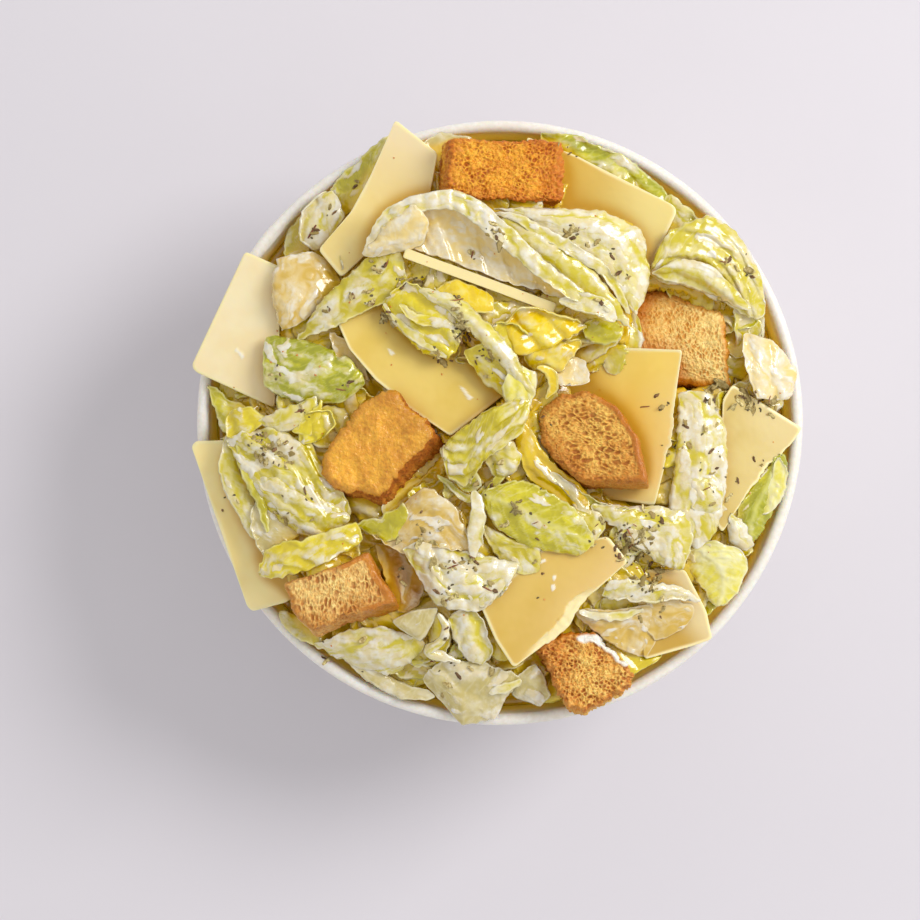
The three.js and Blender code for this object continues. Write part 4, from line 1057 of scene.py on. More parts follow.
# %% Front left
leaf("front_cream_leaf", [[-46, -55, 62.4], [-38.5, -51.5, 67], [-28.5, -50, 69], [-18.5, -54, 68],
     [-22, -59, 66.4], [-26, -62, 64], [-34, -60.5, 62.6], [-40, -58.5, 62.2]],
     (0, 3), "milky", rise=1.2, cover=0.85, folds=[(8, 1.4, 0.3)], blister=0.2, blister_size=6, crease=0.3,
     heavy=0.3, roll_other=(1, -1.8))
leaf("hanging_leaf", [[-19, -63, 64.4], [-15, -58.8, 67], [-5, -58.5, 68.4], [5, -62.5, 67.4],
     [1.5, -68, 64.6], [-2, -73.3, 62.6], [-9.5, -74.3, 62.2], [-14, -69, 63.2]],
     (0, 3), "clear", rise=1, ruffle=0.4, blister=0.15, crease=0.2, thickness=0.6, folds=[(9, 1.0, 0.6)],
     roll_other=(0.6, -1.4))
strip("hanging_leaf_fold", [[-3, -66.4, 66.6], [1.5, -65, 67.6], [5.2, -63.2, 67.8]],
      1.2, "milky", cover=0.8)
leaf("front_small_leaf", [[4, -62.5, 66.2], [8.5, -59.4, 66.4], [11.4, -64, 65.2], [12, -68, 63.2],
     [9.5, -70, 62.2], [3, -67, 63.2]],
     (1, 4), "clear", rise=1, cover=0.6, folds=[(4, 0.8, 0.5)], blister=0.45, blister_size=3)
leaf("drooping_leaf", [[-12.5, -47.5, 72.2], [-7, -45, 73.4], [-4, -50, 71.6], [-2.2, -56, 69.4],
     [-4, -59.4, 68.2], [-8, -58, 69.4], [-11.6, -53, 71]],
     (0, 4), "milky", cover=0.78, rise=1.2, folds=[(5, 1.0, 0.2)], roll=(0.9, 2))
strip("white_curl", [[-15.3, -46.2, 74], [-13.6, -49.5, 73.6], [-14.2, -53, 72.8], [-17.4, -55.8, 70.6],
      [-13.5, -57.6, 69.4], [-9.6, -58.6, 69]],
      1.3, "milky", cover=0.9, rise=1)
leaf("green_quad", [[-26.4, -48.6, 71.2], [-22, -46, 72.4], [-15.4, -45.2, 73.6], [-17, -50, 72.2],
     [-19.6, -53.6, 71]],
     (0, 2), "clear", rise=0.6, cover=0.3, blister=0.15, torn=0.1)
leaf("heavy_white_leaf", [[-24, -31, 74.4], [-17, -28.6, 75.4], [-7, -32, 76.4], [4.4, -34.5, 76.4],
     [1, -41, 76.2], [-5.5, -46, 75], [-15.6, -44.4, 74.4], [-20, -37, 74.4]],
     (0, 4), "milky", rise=2, cover=0.92, heavy=0.6, folds=[(6.5, 1.3, 0.5), (3.2, 0.5, 1.1)], blister=0.4)
leaf("heavy_white_lobe", [[-8, -42, 76.4], [-1, -37.6, 77.2], [3.4, -36, 77], [0.6, -40.6, 76.8],
     [-4.6, -45, 75.6]],
     (0, 2), "milky", cover=0.95, heavy=0.4, rise=0.8)
leaf("two_tone_leaf", [[-34.5, -25, 71.4], [-26.5, -22.2, 72.6], [-18.5, -15.6, 76.4], [-13, -18.5, 77.4],
     [-8.5, -26, 77], [-6.6, -31.6, 76], [-15, -29.8, 75.2], [-24, -31.4, 73.2]],
     (0, 5), "creamy", rise=1.2, ruffle=0.6, folds=[(8, 1.0, 0.3)], blister=0.1, crease=0.2,
     roll_other=(1.2, 1.8), heavy=0.25)
leaf("two_tone_green", [[-35.4, -25, 72.2], [-30, -23, 73.2], [-23.6, -19.6, 75], [-22, -24.4, 75.2],
     [-27, -29.4, 73.4]],
     (0, 2), "fresh", cover=0.4, rise=0.8, blister=0.3)
leaf("dusky_leaf", [[-30.5, -29.5, 69.2], [-24, -30.5, 71.2], [-18.6, -36, 72], [-20, -44.4, 70.2],
     [-24.6, -46.4, 68.4], [-28, -38, 69]],
     (0, 4), "dusky", cover=0.4, blister=0.2, folds=[(6, 0.8, 0.3)])

# %% [markdown]
# ## The left cluster
# Here the leaves are crushed together, with deep folds side by side. The folds run from the
# wall towards the middle, and a film of dressing fills the grooves between their backs.

# %% Left
leaf("left_cube_fold", [[-66.5, 2.6, 68.6], [-61, 4, 70.6], [-57, 0.8, 71.6], [-61, -2.6, 71.4],
     [-66.8, -3.4, 68.8]],
     (0, 3), "yellow", rise=1.4, folds=[(4, 0.8, 0.3)], roll_other=(0.8, 2))
leaf("left_top_fold", [[-59.4, 0, 71.6], [-54, 3.2, 73.4], [-44.6, 6.2, 74.6], [-46, 0, 74.6],
     [-52, -2.4, 73.6]],
     (0, 2), "milky", rise=0.9, cover=0.68, roll=(0.8, -1.8))
leaf("left_small_curl", [[-48.4, 1.4, 74.6], [-42, 2.8, 74.6], [-40.6, -0.6, 74.4], [-44, -4.2, 74.2],
     [-48.6, -5.4, 73.6]],
     (0, 3), "yellow", rise=1, cover=0.4, ruffle=1.4, roll=(0.8, 2.4), folds=[(3, 0.8, 0.2)])
leaf("left_yellow_flap", [[-51, -2, 74.4], [-46.5, 1.6, 75], [-43.6, 5.6, 75.4], [-43.8, 1.5, 75],
     [-46.4, -3.4, 74.6]],
     (0, 2), "yellow", rise=0.6, cover=0.3)
leaf("left_main_mass", [[-67, -4, 69.4], [-57, -1.6, 72.6], [-47, -4, 74], [-43, -11, 73.4],
     [-36.4, -22, 71.6], [-45, -29.4, 70.6], [-56, -22, 71], [-64, -11, 70]],
     (0, 4), "pale", rise=2, ruffle=1, cover=0.6, folds=[(6.2, 1.7, 0.12), (3.1, 0.7, 0.3)], blister=0.35,
     heavy=0.5, roll_other=(1, -2))
leaf("left_main_ridge", [[-60, -14, 72.4], [-54, -13, 73.4], [-46, -16.5, 73.4], [-36.6, -23.6, 72.4],
     [-43, -28.4, 72], [-52, -24, 72.2]],
     (0, 3), "pale", rise=1.8, cover=0.66, folds=[(4.6, 1.0, 0.1)], roll=(0.8, -1.8),
     roll_other=(0.8, -1.8), heavy=0.45)
strip("left_outer_strip", [[-66.5, -3, 68], [-66.4, -12, 68], [-62.4, -21, 68.4], [-59.6, -29, 69.2]],
      2.9, "milky", cover=0.72, rise=0.8)
strip("left_yellow_strip", [[-64.4, -4.6, 70.4], [-61.8, -12.5, 70.8], [-58.8, -19, 70.8],
      [-57, -27, 70.4]],
      1.5, "fresh", cover=0.4, rise=0.9)
leaf("left_clear_leaf", [[-59.6, -19, 69.8], [-55, -22, 70], [-48.6, -27, 70.2], [-53, -30, 69.4],
     [-57.6, -32.2, 68.8], [-61, -26, 69]],
     (0, 3), "clear", rise=0.8, cover=0.45, roll_other=(0.9, 2))
leaf("yellow_front_leaf", [[-59, -37.5, 72.2], [-57, -30.4, 72.6], [-47, -28, 74.6], [-35.4, -24.6, 74.6],
     [-33.4, -28.6, 76], [-41, -33, 77.6], [-52, -37.6, 76]],
     (0, 4), "yellow", ruffle=0.8, rise=1, cover=0.55, folds=[(6, 1.2, 0.9), (3, 0.5, 0.5)], blister=0.35,
     roll_other=(0.6, -1.4))
leaf("green_film_leaf", [[-57.4, 21, 69.4], [-46, 19.5, 71.4], [-37, 15.5, 72.4], [-33, 9.5, 73.2],
     [-38.5, 5.4, 73.2], [-50, 5, 72.2], [-57.5, 9, 70.4]],
     (0, 3), "green", rise=1.8, cover=0.56, ruffle=0.8, blister=0.35, blister_size=3.2, heavy=0.22,
     roll=(0.8, -1.8))
leaf("rim_leaf_left", [[-72, 9.6, 61.4], [-66, 5.2, 62.4], [-57.4, 2.2, 65], [-61, -1.4, 66],
     [-68, -2.4, 63.4], [-70.2, 3, 62]],
     (0, 3), "fresh", blister=0.4, folds=[(4, 0.7, 0.3)])
leaf("small_pale_bits", [[-42, 22, 70.5], [-37, 20, 70.5], [-32, 10, 71], [-38, 12, 70.5]],
     (0, 2), "creamy")

# %% Strips in the gaps
strip("gap_olive_strip", [[3.7, 2, 76.6], [6.5, -5.5, 76.4], [9.9, -11.6, 76], [18.6, -19.1, 75.4],
      [22.3, -29, 74.6]],
      3.4, "olive", cover=0.32, rise=0.8, folds=[(4, 0.6, 0.1)])
strip("gap_pale_strip", [[12, -12, 76.6], [17.5, -17.5, 76.4], [21.6, -25, 75.6]], 1.2, "clear")
strip("front_rim_strip", [[-38.4, -58, 61.8], [-32.2, -61.8, 61.8], [-24.8, -66, 61.8], [-16, -67.4, 63]],
      2.1, "clear")
strip("left_rim_strip", [[-54.5, -46.5, 61], [-50, -50.5, 61.4], [-44.6, -54.2, 62.4]],
      2.2, "pale", cover=0.6)
strip("gap_left_strip", [[-14, -20, 73.4], [-11, -25, 73.4], [-10, -29, 73.6]], 3.0, "creamy", cover=0.4)
print("leaves and strips:", len(LEAVES), "with", sum(len(ob.data.polygons) for ob in LEAVES), "faces")

# %% [markdown]
# ## The core below the leaves
# Under the leaves that show lie many more, with dark gaps between them. One bumpy skin, the
# core, stands in for them. It fills the bowl a little below the leaves that show, follows
# their mean height, and takes the place of the heap's solid.

# %% Core
WALL_LINE = 53.0
HEAP_SINK = 2.9
HEAP_BLEND = 6.5
CORE_SINK = 2.2
CORE_SPOKES = 240
SPOT_STEP = 160


def points_of(piece):
    """All vertex places of a mesh object, in millimetres."""
    places = np.empty(len(piece.data.vertices) * 3, np.float32)
    piece.data.vertices.foreach_get("co", places)
    return places.reshape(-1, 3) / MM


LEAF_SPOTS = np.vstack([points_of(ob)[::SPOT_STEP] for ob in LEAVES])


def heap_height(x, y):
    """The mean height of the leaves near a place, less a sink. Each leaf point counts by a
    bell curve of its distance, and the wall line counts a little everywhere."""
    reach = (x[..., None] - LEAF_SPOTS[:, 0]) ** 2 + (y[..., None] - LEAF_SPOTS[:, 1]) ** 2
    weight = np.exp(-reach / HEAP_BLEND**2)
    total = (weight * (LEAF_SPOTS[:, 2] - HEAP_SINK)).sum(-1) + 1e-3 * WALL_LINE
    return total / (weight.sum(-1) + 1e-3)


def build_core():
    """Rings from the middle of the top out to the wall and down it to the bowl's floor."""
    angle = np.arange(CORE_SPOKES) / CORE_SPOKES * 2 * math.pi
    at_wall = wall_inside(WALL_LINE) - GAP
    radius = np.linspace(0.01, 1, 90)[:, None] * at_wall + 0 * angle
    x, y = radius * np.cos(angle), radius * np.sin(angle)
    places = np.stack([x, y, 0 * x], -1)
    height = heap_height(x, y) - CORE_SINK + 1.3 * layered(places, 9, 5)
    height = height - 2.4 * np.abs(noise(places, 5, 9))
    height = np.minimum(height - 0.9 * np.abs(noise(places, 2.4, 19)), ceiling(x, y) - 1)
    height = height + (WALL_LINE - height) * ease(0.9, 0.98, radius / at_wall)
    down = np.linspace(WALL_LINE, FLOOR + GAP, 12)[1:, None] + 0 * angle
    wall = wall_inside(down) - GAP
    rings = np.concatenate([np.stack([x, y, height], -1),
                            np.stack([wall * np.cos(angle), wall * np.sin(angle), down], -1)])
    none = 0 * rings[..., 0]
    masks = {"veil": 0.1 + 0.2 * layered(rings, 6, 3), "vein": none, "rim": none, "groove": none + 0.5}
    first = [0, 0, rings[0, :, 2].mean()]
    # The core's saturated gold colour is painted shade for the gaps between the leaves.
    made = add_skin("lettuce_core", first, rings, [0, 0, FLOOR + GAP], LETTUCE["olive"], masks,
                    node="lettuce_heap")
    print("core:", len(made.data.polygons), "faces")


build_core()


# %% [markdown]
# ## Cheese
# The slices are cut from a young yellow block: satin, slightly see-through, with a paler
# cut edge, a few pinholes and scratches, and some broken rims. The paler edge is partly the
# cut's own colour and partly painted light, standing in for light that passes through the
# thin edge. A slice is one outline between two bent faces. The outline is smoothed by a
# moving mean, which rounds its corners just as a knife's drag does.


# %% Outline and block rings
def soft_outline(corners, count, softness):
    """The corners' straight-sided outline at even steps, with each point replaced by the
    mean of those within softness of it."""
    ring = np.asarray(corners, float)
    closed = np.vstack([ring, ring[:1]])
    even = walk(closed, np.arange(count) / count)
    step = length_of(closed) / count
    span = max(1, int(softness / step))
    return sum(np.roll(even, k, axis=0) for k in range(-span, span + 1)) / (2 * span + 1)


def block_rings(outline, top_height, down, bevel, rings_in, rings_down):
    """Rings over a block: from the middle of its top out to the edge, round the bevel,
    down its side and back to the middle below. The side moves along down."""
    middle = outline.mean(0)
    reach = np.linspace(0.03, 1, rings_in) ** 0.85
    size = np.linalg.norm(outline[:, :2] - middle[:2], axis=1).mean()
    inset = 1 - bevel / size
    flat = middle + (outline - middle) * (reach * inset)[:, None, None]
    flat[..., 2] = top_height(flat[..., 0], flat[..., 1])
    edge_z = top_height(outline[:, 0], outline[:, 1])
    edge = np.stack([outline[:, 0], outline[:, 1], edge_z], -1)
    turn = np.linspace(0, math.pi / 2, 5)[1:, None, None]
    round_out = flat[-1] + (edge - flat[-1]) * np.sin(turn)
    round_out[..., 2] = edge_z - bevel * (1 - np.cos(turn[..., 0]))
    depth = np.linspace(0, 1, rings_down)[1:, None, None]
    way = np.asarray(down, float)
    start = round_out[-1]
    side = start + depth * (way - [0, 0, -2 * bevel])
    foot = side[-1] - (edge - flat[-1]) * (1 - np.cos(turn))
    foot[..., 2] = side[-1][:, 2] - bevel * np.sin(turn[..., 0])
    centre = foot[-1].mean(0)
    under = centre + (foot[-1] - centre) * np.linspace(1, 0.05, max(4, rings_in // 3))[1:, None, None]
    return np.concatenate([flat, round_out, side, foot, under])


def add_block(name, rings, material, masks, node, slot):
    """A closed skin whose end points are the middles of its first and its last ring."""
    return add_skin(name, rings[0].mean(0), rings, rings[-1].mean(0), material, masks, node=node, slot=slot)


def smear_mask(rings, lines, width, seed):
    """1 on smears of dressing along these lines, seen from above, and 0 away from them."""
    x, y = rings[..., 0], rings[..., 1]
    nearest = np.full(x.shape, np.inf)
    for line in lines:
        for (x0, y0), (x1, y1) in zip(line[:-1], line[1:]):
            share = ((x - x0) * (x1 - x0) + (y - y0) * (y1 - y0)) / ((x1 - x0) ** 2 + (y1 - y0) ** 2)
            share = np.clip(share, 0, 1)
            away = np.hypot(x - x0 - share * (x1 - x0), y - y0 - share * (y1 - y0))
            nearest = np.minimum(nearest, away)
    return ease(width, 0.45 * width, nearest + 0.5 * width * noise(rings, 1.8, seed))


# %% Cheese finish
PALE_FLECK = colour(252, 244, 214)
SPICE_FLECK = colour(226, 150, 50)
CUT_EDGE_AND_EDGE_LIGHT = colour(250, 234, 178)
# Painted shade: the golden colour that the painted-shade mask mixes into slices lying low.
CHEESE_PAINTED_SHADE = colour(206, 156, 4)


def cheese_finish(name, light, deep, pale):
    """Two close yellows in broad blotches, paler towards one side as painted light, paler along
    the cut edge, partly the cut's own colour and partly painted light through the thin edge,
    rare pale and orange flecks, a golden painted shade in the hollows, and light that soaks
    in: that gives the glow of a slice."""
    material, tree, shader, place = new_finish(
        name, 0.32, Coat_Weight=0.15, Coat_Roughness=0.25, Subsurface_Weight=0.3,
        Subsurface_Radius=(1.0, 0.75, 0.2), Subsurface_Scale=0.002)
    body = blotches(tree, place, 70.0, light, deep)
    # Painted light: paler towards one side by the painted-light mask.
    painted_light = blend_colours(tree, mask_of(tree, "painted_light_side"), body["Colour"], pale)
    flecked = use_group(tree, SPECKS, Place=place, Size=260.0, Ground=painted_light, Speck=PALE_FLECK,
                        Share=0.03)
    spiced = use_group(tree, SPECKS, Place=place, Size=330.0, Ground=flecked["Colour"],
                       Speck=SPICE_FLECK, Share=0.015)
    # Paler edge: partly the cut's own colour, partly painted light through the thin edge.
    edged = blend_colours(tree, mask_of(tree, "rim"), spiced["Colour"], CUT_EDGE_AND_EDGE_LIGHT)
    # Painted shade: golden where the slice lies below the salad's top.
    glow = blend_colours(tree, mask_of(tree, "hollow"), edged, CHEESE_PAINTED_SHADE)
    smeared = blend_colours(tree, mask_of(tree, "smear"), glow, CREAM)
    tree.links.new(smeared, shader.inputs["Base Color"])
    bump(tree, shader, body["Mask"], 0.12, 0.0004)
    return material


# Painted light and shade: one cheese, set slice by slice. The finish for slice 10 is a lighter copy, as
# painted light, since that slice lies in shade; golden, for slice 3, is a shaded copy. The third colour of
# each is the painted light on a slice's paler side.
CHEESE_COLOURS = {
    "plain": [(231, 203, 106), (224, 193, 88), (240, 214, 132)],
    "deep": [(250, 217, 108), (243, 208, 92), (244, 216, 134)],
    "right": [(217, 193, 118), (209, 182, 98), (222, 201, 138)],
    "light": [(246, 224, 150), (241, 215, 134), (240, 222, 176)],
    "lit_copy": [(255, 234, 168), (252, 226, 148), (252, 232, 170)],
    "pale": [(249, 232, 188), (246, 224, 172), (247, 232, 190)],
    "golden": [(220, 184, 72), (212, 174, 60), (236, 216, 136)],
    "broken": [(223, 189, 97), (214, 177, 76), (232, 200, 130)],
    "ripe": [(208, 172, 76), (200, 160, 62), (230, 210, 156)],
}
CHEESE = {name: cheese_finish("cheese_" + name, *shades(three)) for name, three in CHEESE_COLOURS.items()}
SLICE_LOOKS = {
    1: {"finish": "light", "painted_light_side": (0.3, 0.95, -4, 20)},
    2: {"finish": "pale", "smears": [[(-63.4, 16.4), (-65, 18)]]},
    3: {"finish": "golden", "painted_light_side": (0.98, -0.2, -8, 14)},
    5: {"finish": "plain", "smears": [[(-9.5, 8.5), (-7.5, 6)], [(-27, 17.6), (-26.4, 16.8)]]},
    6: {"finish": "deep", "rough": (0.95, -0.3, 0.72), "painted_light_side": (0.9, -0.4, 0, 14)},
    7: {"finish": "right", "rough": (0.72, -0.7, 0.45), "painted_light_side": (0.9, 0.1, -4, 10)},
    8: {"finish": "broken", "rough": (0.62, -0.78, 0.42), "step": 0.9, "painted_light_side": (0.85, -0.5, -4, 14),
        "smears": [[(8.8, -34.4), (10.6, -33.6)], [(13, -37.6), (13, -38)], [(12.8, -40), (12.8, -40.4)]]},
    9: {"finish": "ripe", "painted_light_side": (0.8, 0.6, -3, 7)},
    10: {"finish": "lit_copy"},
}


# %% Cheese shapes
def rough_side(outline, rough, seed):
    """Breaks the outline where it faces the rough direction: noise moves it in and out."""
    if rough is None:
        return outline, 0 * outline[:, 0]
    middle = outline.mean(0)
    facing = unit((outline - middle) * [1, 1, 0]) @ np.array([rough[0], rough[1], 0])
    share = ease(rough[2], rough[2] + 0.25, facing)
    wander = share * (0.9 * layered(outline, 4.0, seed) + 0.3 * noise(outline, 1.2, seed + 1))
    return outline + unit((outline - middle) * [1, 1, 0]) * wander[:, None], share


def build_slice(name, corners, finish="plain", rough=None, step=0.0, painted_light_side=(1, 0, 50, 60), smears=()):
    """A slice: rings from block_rings between the bent faces, a faint waviness, and where
    step is set a broken terrace along the rough side."""
    seed = 3 + sum(map(ord, name)) % 71
    outline = soft_outline(corners, 220, 1.0)
    outline, share = rough_side(outline, rough, seed)
    height = bent_height(corners)
    half = CHEESE_THICKNESS / 2
    rings = block_rings(outline, lambda x, y: height(x, y) + half, [0, 0, -CHEESE_THICKNESS], 0.35, 28, 8)
    middle = outline.mean(0)
    away = np.linalg.norm((rings - middle)[..., :2], axis=-1)
    edge_away = np.linalg.norm((outline - middle)[:, :2], axis=-1)
    inward = edge_away - away
    under = ease(0.4, 1.2, height(rings[..., 0], rings[..., 1]) - rings[..., 2])
    wavy = 0.16 * layered(rings, 16, seed, 2) + 0.02 * noise(rings, 1.4, seed + 2)
    if step:
        broken = inward + 0.9 * layered(rings, 5, seed + 4)
        wavy = wavy - step * share * (1 - ease(2.6, 3.1, broken)) * (1 - under)
        wavy = wavy + 0.22 * share * (1 - ease(2.6, 3.1, broken)) * noise(rings, 1.6, seed + 6)
    rings[..., 2] += wavy
    # Paler rim along the outline and the broken terrace: partly the cut's own colour, partly painted light
    # through the thin edge.
    rim = np.clip(ease(1.1, 0.3, inward) + 0.9 * share * ease(3.3, 2.6, inward) * (step > 0), 0, 1)
    smear = smear_mask(rings, smears, 0.6, seed + 8) * (1 - under)
    rings[..., 2] += 0.2 * smear
    # Painted light and shade: the slice grows paler towards one side, standing in for the light falling
    # across it.
    towards = (rings - middle) @ np.array([painted_light_side[0], painted_light_side[1], 0])
    painted_light = ease(painted_light_side[2], painted_light_side[3], towards + 2.5 * noise(rings, 12, seed + 5))
    masks = {"rim": rim, "painted_light_side": painted_light, "smear": 0.8 * smear}
    made = add_block(name + "_cut", rings, CHEESE[finish], masks, name, "cheese")
    return len(made.data.polygons)


def build_standing_slice():
    """The slice that stands on its edge: a long thin block, seen as a pale bar."""
    top = np.array(STANDING_SLICE["top"], float)
    outline = soft_outline(top, 260, 0.35)
    height = float(top[0, 2])
    rings = block_rings(outline, lambda x, y: height + 0 * x, STANDING_SLICE["down"], 0.25, 14, 40)
    rings += 0.12 * layered(rings, 12, 8, 2)[..., None] * np.array([0.3, 0.9, 0.3])
    # Paler along the top of the standing slice: partly the cut's own colour, partly painted light on the face
    # that looks up.
    rim = ease(height - 1.0, height - 0.4, rings[..., 2])
    add_block("cheese_slice_4_cut", rings, CHEESE["plain"], {"rim": 0.8 * rim}, "cheese_slice_4", "cheese")


faces = sum(build_slice(f"cheese_slice_{number}", SLICES[number], **look)
            for number, look in SLICE_LOOKS.items())
build_standing_slice()
print("cheese:", faces, "faces in the lying slices")

# %% [markdown]
# ## Croutons
# Toasted bread is a foam: open pores with brown rims in a pale crumb, a tight dark crust on
# one side. Bump alone would look printed on, so the pores are pressed into the mesh: each
# point sinks by how near it is to a pore's middle. The pores are stretched along the way
# the dough rose. How deep a point sits is kept as a mask, which darkens the hollows as
# painted shade.


# %% Toast finish
# Painted shade: the deep orange that the painted-shade mask mixes into croutons lying low.
TOAST_PAINTED_SHADE = colour(192, 112, 16)


def toast_finish(name, crumb, brown, crust, char_and_pore_shade):
    """Crumb to brown by how toasted, crust colour and a duller shine on the crust side, darker
    in bubbles as painted shade, a deep orange painted shade in the hollows, and cream where
    dressing clings."""
    material, tree, shader, place = new_finish(
        name, 0.6, Coat_Weight=0.06, Coat_Roughness=0.2, Subsurface_Weight=0.15,
        Subsurface_Radius=(1.0, 0.5, 0.2), Subsurface_Scale=0.001)
    grain = blotches(tree, place, 1100.0, crumb, brown)
    shaded = blend_colours(tree, mask_of(tree, "toast"), crumb, brown)
    mixed = blend_colours(tree, 0.35, shaded, grain["Colour"])
    duller = blend_colours(tree, 0.35, crust, brown)
    rind = blotches(tree, place, 380.0, crust, duller)
    crusted = blend_colours(tree, mask_of(tree, "crust"), mixed, rind["Colour"])
    toasted = blend_colours(tree, maths(tree, "MULTIPLY", mask_of(tree, "toast"), 0.5), crusted, char_and_pore_shade)
    # Painted shade: bubbles darkened toward the char colour by the pore mask.
    deep = blend_colours(tree, mask_of(tree, "pore"), toasted, char_and_pore_shade)
    # Painted shade: deep orange where the crouton lies below the salad's top.
    glow = blend_colours(tree, mask_of(tree, "hollow"), deep, TOAST_PAINTED_SHADE)
    smeared = blend_colours(tree, mask_of(tree, "smear"), glow, CREAM)
    tree.links.new(smeared, shader.inputs["Base Color"])
    smooth = maths(tree, "MAXIMUM", mask_of(tree, "crust"), mask_of(tree, "smear"))
    polish = mapped(tree, smooth, 0.0, 1.0, 0.62, 0.26)
    tree.links.new(polish, shader.inputs["Roughness"])
    bump(tree, shader, grain["Mask"], 0.5, 0.0003)
    return material


CROUTON_LOOKS = {
    1: {"colours": [(255, 196, 56), (238, 134, 2), (238, 124, 0), (172, 78, 0)], "pore": 0.95,
        "depth": 0.42, "stretch": (1, 1, 1), "crust": (1, 0.2, 0, 2.0), "grain": 0.42, "edge": 0.6,
        "browner": (0.5, -0.1)},
    2: {"colours": [(255, 230, 148), (242, 180, 64), (212, 138, 44), (208, 134, 30)], "pore": 0.9,
        "depth": 0.34, "stretch": (1, 0.7, 1), "crust": (0.75, -0.66, 0, 0.92), "grain": 0.2, "edge": 1.0,
        "bevel": 1.5, "browner": (-1.0, 0.1), "lumpy": 0.7, "chipped": 0.5, "toasted": 0.05},
    3: {"colours": [(230, 158, 50), (204, 112, 18), (254, 190, 60), (154, 76, 4)], "pore": 0.9,
        "depth": 0.5, "stretch": (1, 1, 1), "crust": (-0.45, 0.35, 0.8, 0.2), "grain": 0.24, "edge": 1.2,
        "bevel": 1.5, "browner": (0.5, 0.5), "lumpy": 0.8, "chipped": 0.7, "toasted": 0.3},
    4: {"colours": [(255, 212, 104), (240, 150, 28), (208, 128, 32), (166, 90, 16)], "pore": 1.15,
        "depth": 0.55, "stretch": (0.55, 1.0, 0.8), "crust": (0.94, 0.33, 0, 0.85), "grain": 0.1,
        "edge": 0.9, "browner": (-0.5, -0.9)},
    5: {"colours": [(255, 226, 142), (240, 164, 52), (206, 130, 30), (170, 96, 18)], "pore": 1.1,
        "depth": 0.5, "stretch": (1.0, 0.45, 0.7), "crust": (0.9, 0.44, 0, 0.8), "grain": 0.12, "edge": 0.8,
        "browner": (0.7, -0.9)},
    6: {"colours": [(255, 222, 124), (250, 170, 50), (226, 138, 34), (176, 86, 4)], "pore": 1.0,
        "depth": 0.45, "stretch": (1, 1, 1), "crust": (-0.1, 1.0, 0, 0.9), "grain": 0.6, "edge": 0.9,
        "browner": (-0.8, 0.1), "lumpy": 1.1, "chipped": 0.7,
        "smears": [[(19.6, -53), (23, -52.8), (27.4, -56), (30.4, -59)]]},
}


# %% Crouton shapes
def build_crouton(name, top, down, colours, pore, depth, stretch, crust, grain, edge, browner,
                  bevel=1.1, lumpy=0.45, chipped=0.25, smears=(), toasted=0.25):
    """A block with rounded, chipped edges. Each point moves along its normal: in by the
    bubbles, whose walls stay up as thin ridges, and out and in by the grain. A crust lies
    on the faces that look along its direction, or along the edge on that side."""
    seed = 5 + sum(map(ord, name)) % 61
    outline = soft_outline(top, 340, 1.4)
    outward = unit((outline - outline.mean(0)) * [1, 1, 0])
    uneven = 0.7 * layered(outline, 7, seed, 3) + chipped * noise(outline, 1.5, seed + 20)
    outline = outline + outward * uneven[:, None]
    rings = block_rings(outline, bent_height(top), down, bevel, 64, 40)
    normals = ring_normals(rings)
    middle = rings.reshape(-1, 3).mean(0)
    if ((rings - middle) * normals).sum() < 0:
        normals = -normals
    rings += normals * (lumpy * layered(rings, 7, seed))[..., None]
    away = (rings - outline.mean(0)) * [1, 1, 0]
    reach = np.linalg.norm(away, axis=-1) / np.linalg.norm((outline - outline.mean(0))[:, :2], axis=-1)
    crust_way = np.array(crust[:3])
    if crust[2]:
        crusty = ease(crust[3], crust[3] + 0.1, normals @ crust_way)
    else:
        crusty = ease(crust[3] - 0.02, crust[3] + 0.03, reach) * ease(0.3, 0.6, unit(away) @ crust_way)
    warped = rings * np.array(stretch) + 0.3 * noise(rings, 1.6, seed + 3)[..., None]
    first, second = seed_distances(warped, pore, seed)
    small, other = seed_distances(warped, pore * 0.5, seed + 2)
    big_hole = ease(0.04, 0.42, second - first) * ease(-0.6, 0.3, noise(rings, 3.5, seed + 4))
    hole = np.maximum(big_hole, 0.5 * ease(0.05, 0.5, other - small)) * (1 - 0.85 * crusty)
    fine = noise(rings, 1.0, seed + 6) + 0.6 * noise(rings, 0.55, seed + 8)
    rough = grain * (fine + 0.8 * noise(rings, 2.1, seed + 9))
    wrinkle = 0.6 * (0.3 - np.abs(noise(rings * [1, 0.5, 1], 5.0, seed + 12)))
    wrinkle += 0.2 * (0.3 - np.abs(noise(rings * [0.5, 1, 1], 1.6, seed + 13)))
    upper = rings[..., 2] > middle[2]
    smear = smear_mask(rings, smears, 1.1, seed + 15) * upper
    moved = (rough - depth * hole) * (1 - 0.55 * crusty) * (1 - 0.8 * smear) + wrinkle * crusty + 0.35 * smear
    rings = rings + normals * moved[..., None]
    size = np.linalg.norm(outline - outline.mean(0), axis=1).mean()
    upper = rings[..., 2] > middle[2]
    toast = toasted + 0.25 * ease(0.3, 1.0, reach) + 0.6 * layered(rings, 7, seed + 10)
    toast = toast + edge * ease(0.82, 1.0, reach * upper)
    toast = toast + 0.45 * (away @ np.array([*browner, 0])) / size + 0.4 * noise(rings, 0.8, seed + 14)
    finish = toast_finish(name + "_toast", *shades(colours))
    masks = {"pore": hole * 0.85, "crust": crusty, "toast": np.clip(toast, 0, 1) * 0.85, "smear": smear}
    made = add_block(name + "_bread", rings, finish, masks, name, "toast")
    return len(made.data.polygons)


faces = sum(build_crouton(f"crouton_{number}", **CROUTONS[number], **look)
            for number, look in CROUTON_LOOKS.items())
print("croutons:", faces, "faces")

